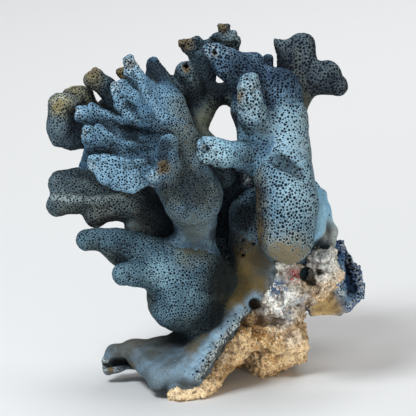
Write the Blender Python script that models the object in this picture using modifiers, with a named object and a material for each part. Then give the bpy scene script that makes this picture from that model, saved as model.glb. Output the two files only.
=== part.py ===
"""Blue ridge coral (Heliopora), a loose specimen on its lump of reef rock.

The coral grew as one colony: a thin crust over the rock, a swollen foot on each side,
and lobed branches that fork and end in blunt fingers.  It is modelled as a tree of
pieces that part at the main forks.  Every piece is a family of limbs, each limb a chain
of balls joined by round cones, and here and there a web stretched between three balls.
The balls are fused into one skin, thinned to plain facets and trimmed clear of the
pieces that were there before, and all of it is sawn off flat under the rock.
"""
import math

import bmesh
import bpy
from mathutils import Matrix, Vector

# ---------------------------------------------------------------- driving dimensions
MM = 0.001                    # the balls below are written in millimetres
LEAN = math.radians(15)       # how far the branches lean back over the saw cut
CUT_DEPTH = 25.0              # where the saw cut meets the front of the rock, mm forward
CUT_MIDDLE = (2.0, 30.0)      # middle of the cut, across and back; the part's origin
GAP = 0.3                     # clearance between neighbouring pieces
GRAIN = 0.9                   # size of the cells that the balls are fused in
BALL_SIDES = 14               # facets round a ball before it is fused
BALL_RINGS = 9
SOFTEN_PASSES = 5             # smoothing of the creases between fused balls
PART_NAME = "blue_ridge_coral"

# colours of the coral's surfaces: red, green, blue, and roughness
SLATE_BLUE = (0.16, 0.22, 0.29, 0.78)
PALE_BLUE = (0.30, 0.38, 0.45, 0.78)
DEEP_BLUE = (0.07, 0.11, 0.18, 0.80)
BEIGE_GREY = (0.33, 0.34, 0.31, 0.74)
OLIVE_GREY = (0.24, 0.25, 0.22, 0.80)
CREAM_RUBBLE = (0.55, 0.43, 0.29, 0.92)


# ---------------------------------------------------------------- an empty scene
for old in list(bpy.data.objects):
    bpy.data.objects.remove(old, do_unlink=True)

parts = bpy.data.collections.new(PART_NAME)
bpy.context.scene.collection.children.link(parts)

# The limbs are drawn in an upright plane: across, up, and back from the viewer.  The
# stand tilts that plane back, and sets the middle of the saw cut on the origin.
stand = bpy.data.objects.new("stand", None)
stand.rotation_euler = (-LEAN, 0, 0)
stand.location = (-CUT_MIDDLE[0] * MM, -CUT_MIDDLE[1] * MM, -CUT_DEPTH * math.sin(LEAN) * MM)
parts.objects.link(stand)
grown = []                    # the finished pieces, in the order they grew


def place(across, up, back):
    """A point of the drawing, in metres on the stand."""
    return Vector((across * MM, back * MM, up * MM))


def add_hull(skin, balls):
    """Adds the tight skin round a few balls, each (across, up, back, radius)."""
    cloud = bmesh.new()
    for across, up, back, radius in balls:
        bmesh.ops.create_uvsphere(
            cloud, u_segments=BALL_SIDES, v_segments=BALL_RINGS, radius=radius * MM,
            matrix=Matrix.Translation(place(across, up, back)))
    hull = bmesh.new()
    for vert in cloud.verts:
        hull.verts.new(vert.co)
    cloud.free()
    bmesh.ops.convex_hull(hull, input=hull.verts)
    inside = [vert for vert in hull.verts if not vert.link_faces]
    bmesh.ops.delete(hull, geom=inside, context="VERTS")
    mesh = bpy.data.meshes.new("hull")
    hull.to_mesh(mesh)
    hull.free()
    skin.from_mesh(mesh)
    bpy.data.meshes.remove(mesh)


def bake(thing):
    """Turns an object's modifiers into its own mesh."""
    bpy.context.view_layer.update()
    seen = thing.evaluated_get(bpy.context.evaluated_depsgraph_get())
    mesh = bpy.data.meshes.new_from_object(seen)
    thing.modifiers.clear()
    old = thing.data
    thing.data = mesh
    bpy.data.meshes.remove(old)


def triangles(mesh):
    return sum(len(face.vertices) - 2 for face in mesh.polygons)


def fused(name, limbs, webs, faces, lumps):
    """One closed skin round all the limbs and webs, thinned to so many facets."""
    skin = bmesh.new()
    for limb in limbs:
        for ends in zip(limb, limb[1:]):
            add_hull(skin, ends)
    for web in webs:
        add_hull(skin, web)
    mesh = bpy.data.meshes.new(name)
    skin.to_mesh(mesh)
    skin.free()
    piece = bpy.data.objects.new(name, mesh)
    piece.parent = stand
    parts.objects.link(piece)

    fuse = piece.modifiers.new("fuse", "REMESH")
    fuse.mode = "VOXEL"
    fuse.voxel_size = GRAIN * MM
    soften = piece.modifiers.new("soften", "SMOOTH")
    soften.factor = 0.5
    soften.iterations = SOFTEN_PASSES
    if lumps:
        size, height = lumps
        pattern = bpy.data.textures.new(name + " lumps", "CLOUDS")
        pattern.noise_scale = size * MM
        pattern.noise_depth = 2
        swell = piece.modifiers.new("lumps", "DISPLACE")
        swell.texture = pattern
        swell.strength = height * MM
        swell.mid_level = 0.5
    bake(piece)
    thin = piece.modifiers.new("thin", "DECIMATE")
    thin.ratio = faces / triangles(piece.data)
    bake(piece)
    return piece


def subtract(piece, tool):
    """Cuts the tool's shape out of the piece, and throws the tool away."""
    cut = piece.modifiers.new("cut", "BOOLEAN")
    cut.operation = "DIFFERENCE"
    cut.solver = "EXACT"
    cut.object = tool
    bake(piece)
    mesh = tool.data
    bpy.data.objects.remove(tool)
    bpy.data.meshes.remove(mesh)


def as_tool(name, mesh):
    tool = bpy.data.objects.new(name, mesh)
    tool.parent = stand
    parts.objects.link(tool)
    return tool


def swollen(piece):
    """A copy of a piece, thicker all over by the gap, to cut its neighbour with."""
    shape = bmesh.new()
    shape.from_mesh(piece.data)
    bmesh.ops.triangulate(shape, faces=shape.faces)
    shape.normal_update()
    for vert in shape.verts:
        vert.co += vert.normal * GAP * MM
    mesh = bpy.data.meshes.new("swollen")
    shape.to_mesh(mesh)
    shape.free()
    return as_tool("swollen", mesh)


def near(piece, other):
    """True where the boxes of two pieces meet."""
    def box(thing):
        corners = [Vector(corner) for corner in thing.bound_box]
        return [(min(c[i] for c in corners), max(c[i] for c in corners)) for i in range(3)]
    return all(a[0] < b[1] and b[0] < a[1] for a, b in zip(box(piece), box(other)))


def keep_main_body(piece):
    """Drops the offcuts that a trim leaves, and keeps the body with the most faces."""
    shape = bmesh.new()
    shape.from_mesh(piece.data)
    bmesh.ops.remove_doubles(shape, verts=shape.verts, dist=0.00001)
    bodies = []
    left = set(shape.faces)
    while left:
        body = set()
        front = {next(iter(left))}
        while front:
            body |= front
            front = {near_face for face in front for edge in face.edges
                     for near_face in edge.link_faces} - body
        bodies.append(body)
        left -= body
    bodies.sort(key=len)
    scraps = [face for body in bodies[:-1] for face in body]
    bmesh.ops.delete(shape, geom=scraps, context="FACES")
    bmesh.ops.triangulate(shape, faces=shape.faces)
    shape.to_mesh(piece.data)
    shape.free()


def saw_flat(piece):
    """Saws off what hangs below the cut, whose plane is the world's floor."""
    block = bmesh.new()
    bmesh.ops.create_cube(block, size=0.3)
    mesh = bpy.data.meshes.new("saw block")
    block.to_mesh(mesh)
    block.free()
    saw = bpy.data.objects.new("saw block", mesh)
    saw.location = (0, 0, -0.15)
    parts.objects.link(saw)
    subtract(piece, saw)


def finish(piece, colour):
    red, green, blue, rough = colour
    skin = bpy.data.materials.new(piece.name)
    skin.use_nodes = True
    surface = skin.node_tree.nodes["Principled BSDF"]
    surface.inputs["Base Color"].default_value = (red, green, blue, 1)
    surface.inputs["Roughness"].default_value = rough
    surface.inputs["Metallic"].default_value = 0
    skin.diffuse_color = (red, green, blue, 1)
    piece.data.materials.clear()
    piece.data.materials.append(skin)
    piece.data.shade_smooth()
    piece.data.set_sharp_from_angle(angle=math.radians(50))


def grow(name, colour, limbs, webs=(), faces=600, lumps=None, pits=()):
    """Makes one piece, clear of those before it, and adds it to the colony."""
    piece = fused(name, limbs, webs, faces, lumps)
    for other in grown:
        if near(piece, other):
            subtract(piece, swollen(other))
    for pit in pits:
        hole = bmesh.new()
        add_hull(hole, pit)
        mesh = bpy.data.meshes.new("pit")
        hole.to_mesh(mesh)
        hole.free()
        subtract(piece, as_tool("pit", mesh))
    saw_flat(piece)
    keep_main_body(piece)
    finish(piece, colour)
    grown.append(piece)
    return piece


# ---------------------------------------------------------------- reef rock
# The lump of old reef the colony sat on: a foot that runs down to the front, a broad
# bulk behind it, a worm-eaten knob on the right, and a rough back.
grow("reef_rock", CREAM_RUBBLE, faces=850, lumps=(7.0, 3.0), limbs=[
    [(-18.5, 2.5, -22, 4.4), (-12, 4.5, -18, 5), (-7.5, 8.5, -12, 5.6), (-3, 16, -4, 6.5),
     (5, 25, 2, 9)],
    [(10, 26, 12, 11), (20, 25, 12, 12), (26.2, 24, 14, 7.6)],
    [(15.8, 13.5, 11, 6.2), (19, 17.5, 15, 7.5)],
    [(20, 40, 6, 12), (26, 44, 6, 10)],
    [(12, 40, 6, 8), (20, 30, 10, 12)],
    [(29.7, 18.3, 14, 4.2), (26, 20, 14, 6)],
    [(39, 57, 2, 6), (40, 49, 2, 6), (34, 42, 4, 6)],
    [(12, 20, 30, 12), (-8, 20, 28, 12), (-20, 18, 22, 9)],
    [(10, 22, 34, 13), (22, 26, 32, 10)],
    [(8, 40, 26, 12), (22, 44, 24, 11)],
])

# ---------------------------------------------------------------- skirt
# The crust that spread over the rock: a smooth neck swelling into the middle bulb, and
# a thin apron whose lip stands free on the left, broken along its edge.
grow("skirt", BEIGE_GREY, faces=560, limbs=[
    [(-43, 18.3, 2, 4.2), (-36, 19, 4, 4.9), (-26, 19, 4, 5.2), (-16, 20.5, 2, 5.8)],
    [(-46.7, 15.6, -1, 2.5), (-44, 18, 1, 4)],
    [(-46.7, 11.8, 0, 1.6), (-43.5, 13.6, 0, 1.8), (-38, 15.4, 0, 1.8)],
    [(12, 62, 2, 10), (9, 50, -2, 9), (4, 40, -5, 7), (-2, 32, -8, 6), (-7, 24, -12, 5.5),
     (-11, 17, -17, 5), (-16, 11, -21, 4.5)],
    [(13.5, 73, 4, 12), (12, 62, 2, 10)],
], webs=[
    [(-36, 18, 0, 4.5), (-26.2, 10, -20, 4.7), (-16, 21, 2, 6)],
    [(-26.2, 10, -20, 4.7), (-16, 11, -21, 4.5), (-16, 21, 2, 6)],
    [(-16, 11, -21, 4.5), (-7, 24, -12, 5), (-16, 21, 2, 6)],
], pits=[
    [(11.5, 38.5, -16, 1.7), (12, 38.5, 0, 1.5)],
])

# ---------------------------------------------------------------- lower lobe
# The swollen left foot, with two blunt fingers and a tie into the neck.
grow("lower_lobe", PALE_BLUE, faces=420, limbs=[
    [(-17, 41, -12, 14), (-15, 52, -10, 14.5)],
    [(-55, 64, -16, 4.5), (-50, 64.6, -15, 4.0), (-43, 62.5, -14, 6), (-34, 58, -12, 8),
     (-22, 54, -10, 11)],
    [(-40.7, 50.5, -24, 4.4), (-35, 51, -22, 4.8), (-27, 51, -17, 8)],
    [(-42, 58.5, -12, 4.3), (-34, 55, -12, 7)],
    [(-15, 52, -8, 13), (2, 45, 4, 9)],
])

# ---------------------------------------------------------------- right trunk
# The tall column on the right: a hanging bulb, a waist, shoulders, and a knob in front.
grow("right_trunk", PALE_BLUE, faces=560, limbs=[
    [(24.6, 66, -22, 11.3), (24.8, 78, -22, 11.8), (23.5, 89, -19, 11.3),
     (23.5, 100, -11, 10.0), (23.3, 112, -8, 9.2), (21, 122, -6, 9.2)],
    [(14.5, 98, -10, 8.5), (13.3, 106, -8, 7.4), (9.6, 116, -5, 6.8), (9, 124, -5, 5.5)],
    [(16, 120, -5, 8), (13, 106, -8, 7.3)],
    [(20, 74, -6, 10), (14, 74, 4, 10)],
    [(24, 90, -8, 11), (24, 70, 2, 12), (24, 52, 6, 12)],
    [(9.7, 127, -20, 4.0), (9.3, 119.5, -20, 4.6), (11, 113.5, -17, 5.4), (15, 107, -12, 6.5)],
])

# ---------------------------------------------------------------- fan
# The left branch: a hanging bulb that rises into a ridge, with fingers fanned to the
# left, a pair of small knobs in front, and a web between the two lower fingers.
grow("fan", PALE_BLUE, faces=950, limbs=[
    [(-12, 64, -10, 8), (-12.5, 74, -16, 9)],
    [(-13, 81.5, -22, 12.3), (-17, 90, -22, 11.5), (-20, 100, -20, 11), (-23, 110, -18, 9.5),
     (-24, 117, -16, 8.5)],
    [(-51.5, 94, -32, 3.7), (-46, 91.8, -31, 5.0), (-38.5, 89, -30, 6.4), (-29, 93, -27, 8.0),
     (-20, 98, -22, 10)],
    [(-54, 105.5, -26, 3.8), (-49, 103, -26, 5.0), (-41, 98.5, -25, 6.2), (-31, 98, -23, 8.5)],
    [(-56.5, 113.5, -20, 3.9), (-51, 112.3, -19, 4.4), (-44, 107, -18, 5.2),
     (-35, 104.5, -18, 7.5), (-25, 104, -18, 9)],
    [(-42.5, 124, -27, 3.8), (-38.5, 119.5, -27, 4.8), (-33, 115, -24, 5.8),
     (-26, 110, -20, 8)],
    [(-37.9, 135.4, -18, 2.4), (-37, 131, -18, 3.5), (-34, 125, -18, 4.9), (-27, 117, -17, 8)],
    [(-28.5, 134.2, -8, 3.0), (-27, 130, -8, 3.8), (-23, 122, -10, 5.5)],
    [(-21.7, 102.3, -33, 3.6), (-22.7, 95.5, -34, 4.0)],
    [(-27.5, 89.8, -33, 2.8), (-24.5, 91.5, -32, 4.0)],
], webs=[
    [(-53, 103, -21, 2.6), (-57, 93.5, -17, 1.4), (-42, 95, -22, 4)],
])

# ---------------------------------------------------------------- side branch
# A flat branch under the fan, with two rounded ridges at its end and stubs below.
grow("side_branch", SLATE_BLUE, faces=380, limbs=[
    [(-65.3, 87, -6, 5.2), (-59, 86.5, -6, 6), (-49, 85, -5, 6.2), (-38, 80, -2, 8),
     (-26, 74, 2, 9), (-16, 64, 4, 9)],
    [(-67, 77.2, -10, 3.8), (-60, 78.8, -9, 3.6), (-52, 79, -7, 4.5), (-42, 79, -4, 6.5)],
    [(-51.3, 73.6, -9, 4.7), (-45, 77, -7, 4.8), (-36, 78.5, -3, 7.4)],
    [(-38, 69, -6, 2.4), (-33, 69, -3, 4), (-26, 70, 0, 7)],
], webs=[
    [(-66.5, 86, -7, 2.5), (-67.3, 78, -10, 2.5), (-56, 82, -7, 4)],
])

# ---------------------------------------------------------------- crown branch
# The branch behind the fan: it rises to a cluster of knobs and bends an arm over to
# the trunk, which closes the window between them.
grow("crown_branch", SLATE_BLUE, faces=560, limbs=[
    [(-14, 96, -8, 7), (-12.8, 106, -4, 5.8), (-11.5, 116, 0, 5.8), (-10, 126, 4, 6),
     (-8, 136, 7, 6)],
    [(-15.5, 131.3, -10, 4.5), (-14.5, 126, -5, 5), (-12, 119, 0, 5.5)],
    [(-16.2, 142, 6, 2.7), (-12, 140.6, 7, 3.9), (-8, 137, 7, 5.4)],
    [(-0.9, 147.9, 7, 2.5), (0, 144, 7, 4.1), (-4, 139, 7, 4.8)],
    [(4, 144, 7, 2.1), (0, 142, 7, 3.2)],
    [(-12.8, 108.5, -2, 5.0), (-9.2, 116.3, 0, 4.8), (-4.2, 121.8, 2, 4.6), (2, 123, 3, 4.6),
     (7, 119, 2, 5)],
    [(-9.5, 104.5, -7, 4.2), (-4, 99, -6, 4.6), (0, 90, -2, 5)],
])

# ---------------------------------------------------------------- back frond
# The leafy branch at the far left, a thumb and three shorter fingers behind the fan.
grow("back_frond", OLIVE_GREY, faces=480, limbs=[
    [(-65, 117, -10, 5.8), (-65, 109, -10, 5.8), (-58, 105.5, -8, 4.9), (-46, 104, -5, 6),
     (-32, 102, -4, 8)],
    [(-59.3, 119.6, 2, 5.8), (-57, 113, 2, 6), (-46, 108, 0, 7), (-32, 104, -2, 8)],
    [(-51.8, 131.8, -6, 1.3), (-51.9, 128, -6, 3.6), (-48, 125.2, -6, 3.7),
     (-43, 119.5, -5, 4.8), (-36, 112, -5, 6)],
    [(-42, 131, -8, 1.3), (-39.2, 130, -8, 2.3), (-33, 124, -9, 4)],
    [(-47.5, 116.5, 6, 4.3), (-42, 110, 4, 6)],
    [(-67, 103.6, -9, 2.4), (-62, 104, -8, 4.6)],
])

# ---------------------------------------------------------------- crest
# The arm that leans left from the top of the trunk and ends in a broken tip.
grow("crest", DEEP_BLUE, faces=260, limbs=[
    [(-7.3, 140, -16, 1.7), (-4, 138.5, -15, 3.2), (1.5, 134, -12, 5.8), (8, 129.8, -9, 7.3),
     (17, 124, -7, 8)],
    [(12, 135.6, -7, 3.8), (12, 128, -7, 5.5)],
    [(17.1, 136, 0, 2.6), (16.8, 130, -1, 3.4)],
    [(22, 124, -6, 7.5), (17, 124, -7, 8)],
])

# ---------------------------------------------------------------- right horn
# The fork at the trunk's top right: an upright horn with a spur, and a forked arm.
grow("right_horn", SLATE_BLUE, faces=330, limbs=[
    [(26.3, 110, 0, 5.6), (27.4, 118, 3, 5.2), (29.5, 125.3, 4, 6.3), (31, 133, 3, 5.8),
     (31.2, 142.2, 3, 5.1)],
    [(26, 128, 4, 5), (25.6, 136, 3, 4.4), (22.7, 141.4, 2, 2.2), (20.1, 144, 1.5, 0.8)],
    [(27.8, 142, 3, 3.2), (29, 134, 3, 4)],
    [(31, 128.3, 4, 6), (39.5, 128.8, 1, 5.9), (44.9, 125.8, -1, 4.3)],
    [(39.5, 130, 1, 4.5), (41.7, 131.9, 0, 3.9)],
])

# ---------------------------------------------------------------- cross arm
# The stub that reaches left from the trunk's waist, broken off blunt.
grow("cross_arm", PALE_BLUE, faces=140, limbs=[
    [(-6.5, 99.3, -27, 4.6), (-1, 97.9, -24, 5.1), (6, 98.1, -19, 5.0), (14, 98, -13, 7)],
])

# ---------------------------------------------------------------- rear wall
# The plate that runs down behind the trunk's right side to the rock.
grow("rear_wall", BEIGE_GREY, faces=240, limbs=[
    [(35.3, 83, 2, 3.3), (36.3, 76, 0, 4.6), (35.5, 69, -2, 5)],
    [(38.7, 82, 6, 2.3), (39.5, 75.3, 6, 2.4), (42.4, 67.5, 6, 2.6), (42, 60, 5, 3)],
    [(33, 86, 2, 3.6), (30, 80, 4, 8), (32, 66, 6, 8)],
])

# ---------------------------------------------------------------- broken plate
# A hollowed shell of dark blue skeleton low on the right, left by a plate that broke.
grow("broken_plate", DEEP_BLUE, faces=460, limbs=[
    [(46, 62, 8, 1.6), (49.5, 56.6, 10, 1.6), (53, 50, 10, 1.8), (54, 42, 8, 2.1),
     (49, 37.9, 4, 2.3), (45.5, 43, 2, 2), (45, 52, 3, 1.8), (46, 62, 8, 1.6)],
], webs=[
    [(46, 60, 9, 1.6), (51.5, 50, 14, 1.6), (45, 50, 8, 1.8)],
    [(51.5, 50, 14, 1.6), (53, 43, 12, 1.6), (45, 50, 8, 1.8)],
    [(45, 50, 8, 1.8), (53, 43, 12, 1.6), (48, 40, 6, 1.8)],
    [(46, 60, 9, 1.6), (53, 50, 10, 1.8), (51.5, 50, 14, 1.6)],
    [(53, 50, 10, 1.8), (54, 42, 8, 2.1), (51.5, 50, 14, 1.6)],
    [(54, 42, 8, 2.1), (53, 43, 12, 1.6), (51.5, 50, 14, 1.6)],
    [(48, 40, 6, 1.8), (53, 43, 12, 1.6), (54, 42, 8, 2.1)],
    [(46, 62, 8, 1.6), (45, 52, 3, 1.8), (45, 50, 8, 1.8)],
    [(45, 52, 3, 1.8), (45.5, 43, 2, 2), (45, 50, 8, 1.8)],
    [(45.5, 43, 2, 2), (48, 40, 6, 1.8), (45, 50, 8, 1.8)],
    [(45, 44, 4, 1.4), (46, 35, 0, 1.4), (35, 35, 4, 1.2)],
    [(45, 44, 4, 1.4), (35, 34.6, 4, 1.2), (35, 42, 6, 2)],
])

# ---------------------------------------------------------------- rear branch
# The branch at the back, which fills the middle of the colony.  It swells like the bulbs
# in front, then forks into blunt fingers that face backwards.
grow("rear_branch", DEEP_BLUE, faces=620, limbs=[
    [(6, 34, 22, 12), (4, 56, 26, 13), (2, 72, 30, 13.5), (-2, 84, 34, 10.5), (-6, 93, 36, 8)],
    [(3, 74, 22, 11), (5, 84, 14, 7)],
    [(5.5, 87.5, 6, 4.0), (9.5, 88, 5, 4.4), (6, 80, 12, 7)],
    [(-2, 84, 34, 10), (-14, 94, 42, 6.5), (-21, 99, 46, 5.0)],
    [(-6, 93, 36, 8), (-13, 101, 38, 5.5), (-16, 106, 40, 4.5)],
    [(0, 84, 34, 9), (12, 94, 38, 7), (17, 104, 42, 5.5), (16.5, 111, 44, 4.6)],
    [(0, 78, 34, 10), (6, 84, 46, 5.5), (7, 88, 50, 4.5)],
    [(2, 66, 34, 10), (0, 62, 46, 5.5), (-1, 60, 49, 4.6)],
])

# ---------------------------------------------------------------- rear lobes
# The lower forks at the back, one to each side, each with three short fingers.
grow("rear_right_lobe", SLATE_BLUE, faces=340, limbs=[
    [(8, 58, 26, 10), (20, 64, 34, 10), (28, 72, 38, 8), (31, 82, 42, 5.8)],
    [(28, 72, 38, 8), (34, 72, 46, 5), (36.5, 73, 49, 4.2)],
    [(20, 64, 34, 9), (27, 58, 44, 6.5), (31, 55, 49, 4.8)],
    [(20, 64, 34, 9), (22, 76, 46, 5.5), (22.5, 81, 49, 4.6)],
])
grow("rear_left_lobe", SLATE_BLUE, faces=340, limbs=[
    [(0, 54, 26, 11), (-12, 58, 34, 10), (-22, 64, 38, 8), (-29, 72, 41, 6)],
    [(-22, 64, 38, 8), (-32, 60, 42, 5.5), (-37, 59, 44, 4.4)],
    [(-12, 58, 34, 9), (-16, 49, 44, 6.5), (-18, 45.5, 48, 5)],
    [(-22, 64, 38, 8), (-24, 70, 47, 5), (-25, 73, 50, 4.2)],
])
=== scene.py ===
import math

import bpy
import numpy as np
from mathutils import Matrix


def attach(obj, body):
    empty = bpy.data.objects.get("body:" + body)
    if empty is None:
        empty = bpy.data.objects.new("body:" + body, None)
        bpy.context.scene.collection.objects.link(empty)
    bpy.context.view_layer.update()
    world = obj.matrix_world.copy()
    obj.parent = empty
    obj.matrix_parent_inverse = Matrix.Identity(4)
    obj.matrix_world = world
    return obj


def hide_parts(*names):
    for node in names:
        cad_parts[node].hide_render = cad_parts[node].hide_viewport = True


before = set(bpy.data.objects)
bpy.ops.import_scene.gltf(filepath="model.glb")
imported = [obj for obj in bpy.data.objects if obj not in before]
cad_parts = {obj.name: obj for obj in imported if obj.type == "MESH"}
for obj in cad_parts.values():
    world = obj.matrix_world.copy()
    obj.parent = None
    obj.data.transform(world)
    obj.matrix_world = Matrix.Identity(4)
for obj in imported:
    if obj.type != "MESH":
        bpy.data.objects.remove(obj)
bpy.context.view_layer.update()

# ======================== reef rock
# The lump of old reef that the colony sat on: cream and ochre rubble, cemented grains
# and broken shell, sawn off flat underneath.  It is formed as balls and cones melted
# together, with rounded grains raised all over and worm holes sunk into it.
MM = 0.001
CELL = 0.55                    # spacing of the points that a form is read at, mm
FAR = 4.0                      # distances past this are not worked out, mm
LEAN = math.radians(15)        # how far the branches lean back over the cut
CUT_DEPTH = 25.0               # where the cut meets the front of the rock, mm forward
CUT_MIDDLE = (2.0, 30.0)       # middle of the cut, across and back
TILE = 48                      # points along each side of the random block behind noise
RELIEF_REACH = 3.0             # relief is worked out this near to a surface, mm
FILLET_RUN = 0.85              # how far a fillet runs over its carrier, against its width
PIT_EDGE = 0.8                 # how wide the edge of a pit is rounded, mm
GROOVE_EDGE = 2.5              # and that of a groove, mm

forms = {}                     # how each piece is formed, for the pieces that join it


def noise(points, size, seed):
    """Smooth random values from -1 to 1, with bumps about this size in mm."""
    rows = np.random.RandomState(seed).uniform(-1, 1, (TILE, TILE, TILE)).astype(np.float32)
    spots = points / np.float32(size) + np.float32(TILE * 8)
    base = np.floor(spots).astype(np.int32)
    part = spots - base
    part = part * part * (3 - 2 * part)
    low = base % TILE
    high = (base + 1) % TILE
    value = 0
    for corner in range(8):
        pick = [high[:, i] if corner >> i & 1 else low[:, i] for i in range(3)]
        share = 1
        for i in range(3):
            share = share * (part[:, i] if corner >> i & 1 else 1 - part[:, i])
        value = value + share * rows[pick[0], pick[1], pick[2]]
    return value


def meld(one, other, width):
    """Joins two forms with a fillet about so wide."""
    near = np.maximum(width - np.abs(one - other), 0) / width
    return np.minimum(one, other) - near * near * width * 0.25


def to_cone(x, y, z, a, b):
    """Distance to a round cone from ball a to ball b, each (across, up, back, radius)."""
    ax, az, ay, ar = a
    run = (b[0] - ax, b[2] - ay, b[1] - az)
    length = max(sum(v * v for v in run), 1e-6)
    along = ((x - ax) * run[0] + (y - ay) * run[1] + (z - az) * run[2]) / length
    along = np.clip(along, 0, 1)
    gap = np.sqrt((x - ax - along * run[0]) ** 2 + (y - ay - along * run[1]) ** 2
                  + (z - az - along * run[2]) ** 2)
    return gap - (ar + (b[3] - ar) * along)


def to_web(x, y, z, a, b, c):
    """Distance to a sheet stretched between three balls."""
    corner, one, two = (np.array((v[0], v[2], v[1]), float) for v in (a, b, c))
    one, two = one - corner, two - corner
    normal = np.cross(one, two)
    size = normal @ normal
    toward_two = np.cross(normal, one) / size
    toward_one = np.cross(two, normal) / size
    px, py, pz = x - corner[0], y - corner[1], z - corner[2]
    share_one = px * toward_one[0] + py * toward_one[1] + pz * toward_one[2]
    share_two = px * toward_two[0] + py * toward_two[1] + pz * toward_two[2]
    over = (px * normal[0] + py * normal[1] + pz * normal[2]) / math.sqrt(size)
    share = 1 - share_one - share_two
    thick = share * a[3] + share_one * b[3] + share_two * c[3]
    edge = np.minimum(to_cone(x, y, z, a, b), to_cone(x, y, z, b, c))
    edge = np.minimum(edge, to_cone(x, y, z, c, a))
    within = (share_one >= 0) & (share_two >= 0) & (share >= 0)
    return np.where(within, np.minimum(np.abs(over) - thick, edge), edge)


def to_shape(x, y, z, balls):
    """Distance to the cone of two balls, or to the web of three."""
    return to_cone(x, y, z, *balls) if len(balls) == 2 else to_web(x, y, z, *balls)


def block_round(balls, room):
    """The block of lattice points round some balls: its first point and its size."""
    balls = np.array(balls, float)
    centre, reach = balls[:, (0, 2, 1)], balls[:, 3:] + room
    first = np.floor((centre - reach).min(0) / CELL).astype(int)
    last = np.ceil((centre + reach).max(0) / CELL).astype(int)
    return first, last - first + 1


def block_axes(first, count):
    """The coordinates along the three sides of a block, ready to be combined."""
    x, y, z = ((first[i] + np.arange(count[i], dtype=np.float32)) * np.float32(CELL)
               for i in range(3))
    return x[:, None, None], y[None, :, None], z[None, None, :]


def stretches(limbs, webs=()):
    """Every cone and web of a form, as groups of two or three balls."""
    return [pair for limb in limbs for pair in zip(limb, limb[1:])] + list(webs)


def distance_to(name, first, count):
    """The form's signed distance at each point of a block of the lattice."""
    form = forms[name]
    field = np.full(count, FAR, np.float32)
    for balls in stretches(form["limbs"], form["webs"]):
        start, size = block_round(balls, FAR)
        low = np.maximum(start - first, 0)
        high = np.minimum(start - first + size, count)
        if (high <= low).any():
            continue
        here = tuple(slice(a, b) for a, b in zip(low, high))
        axes = block_axes(first + low, high - low)
        reach = to_shape(*axes, balls).astype(np.float32)
        field[here] = meld(field[here], reach, form["soft"])
    close = np.abs(field) < RELIEF_REACH
    if close.any():
        points = ((np.argwhere(close) + first) * CELL).astype(np.float32)
        field[close] += form["relief"](points)
    for hollows, soft in ((form["pits"], PIT_EDGE), (form["grooves"], GROOVE_EDGE)):
        for balls in stretches(hollows):
            hole = to_cone(*block_axes(first, count), *balls).astype(np.float32)
            field = -meld(-field, hole, soft)
    return field


def skin_of(field, first):
    """The surface where a field crosses zero: its points, and its four-sided faces."""
    inside = field < 0
    count = sum(inside[i:i - 1 or None, j:j - 1 or None, k:k - 1 or None].astype(np.int8)
                for i in (0, 1) for j in (0, 1) for k in (0, 1))
    mixed = (count > 0) & (count < 8)
    cells = np.argwhere(mixed)
    number = np.full(mixed.shape, -1, np.int32)
    number[mixed] = np.arange(len(cells))
    total = np.zeros((len(cells), 3), np.float32)
    crossings = np.zeros(len(cells), np.float32)
    for axis in range(3):
        step = np.eye(3, dtype=int)[axis]
        others = [np.eye(3, dtype=int)[i] for i in range(3) if i != axis]
        for i in (0, 1):
            for j in (0, 1):
                near = others[0] * i + others[1] * j
                a = field[tuple((cells + near).T)]
                b = field[tuple((cells + near + step).T)]
                cross = (a < 0) != (b < 0)
                part = np.where(cross, a / np.where(cross, a - b, 1), 0)
                total += np.where(cross[:, None], near + part[:, None] * step, 0)
                crossings += cross
    points = (cells + total / crossings[:, None] + first) * CELL
    faces = []
    for axis in range(3):
        rest = [(axis + 1) % 3, (axis + 2) % 3]
        low = tuple(slice(None, -1) if i == axis else slice(1, -1) for i in range(3))
        high = tuple(slice(1, None) if i == axis else slice(1, -1) for i in range(3))
        edges = np.argwhere(inside[low] != inside[high])
        outward = inside[low][tuple(edges.T)]
        edges[:, rest] += 1
        ring = []
        for back in ((1, 1), (0, 1), (0, 0), (1, 0)):
            cell = edges.copy()
            cell[:, rest[0]] -= back[0]
            cell[:, rest[1]] -= back[1]
            ring.append(number[tuple(cell.T)])
        ring = np.stack(ring, 1)
        faces.append(np.where(outward[:, None], ring, ring[:, ::-1]))
    return points, np.concatenate(faces)


def formed(name, limbs, relief, webs=(), soft=3.0, pits=(), grooves=(), onto=(), joint=4.0):
    """A piece's closed skin, filleted onto the pieces that carry it; mm, as drawn."""
    forms[name] = {"limbs": limbs, "webs": webs, "soft": soft, "relief": relief,
                   "pits": pits, "grooves": grooves}
    first, count = block_round([ball for part in [*limbs, *webs] for ball in part], FAR)
    own = distance_to(name, first, count)
    field = own
    for carrier in onto:
        field = np.minimum(field, meld(own, distance_to(carrier, first, count), joint))
    if onto:                   # the fillet runs a little way over the carrier and stops
        field = np.maximum(field, own - joint * FILLET_RUN)
    x, y, z = block_axes(first, count)
    above = z * math.cos(LEAN) - (y + CUT_DEPTH) * math.sin(LEAN)
    return skin_of(np.maximum(field, -above), first)


def on_stand(points):
    """Places points of the upright drawing in the frame, in metres."""
    x = points[:, 0] - CUT_MIDDLE[0]
    y = points[:, 1] * math.cos(LEAN) + points[:, 2] * math.sin(LEAN) - CUT_MIDDLE[1]
    z = points[:, 2] * math.cos(LEAN) - (points[:, 1] + CUT_DEPTH) * math.sin(LEAN)
    return np.stack([x, y, np.maximum(z, 0)], 1) * MM


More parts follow.
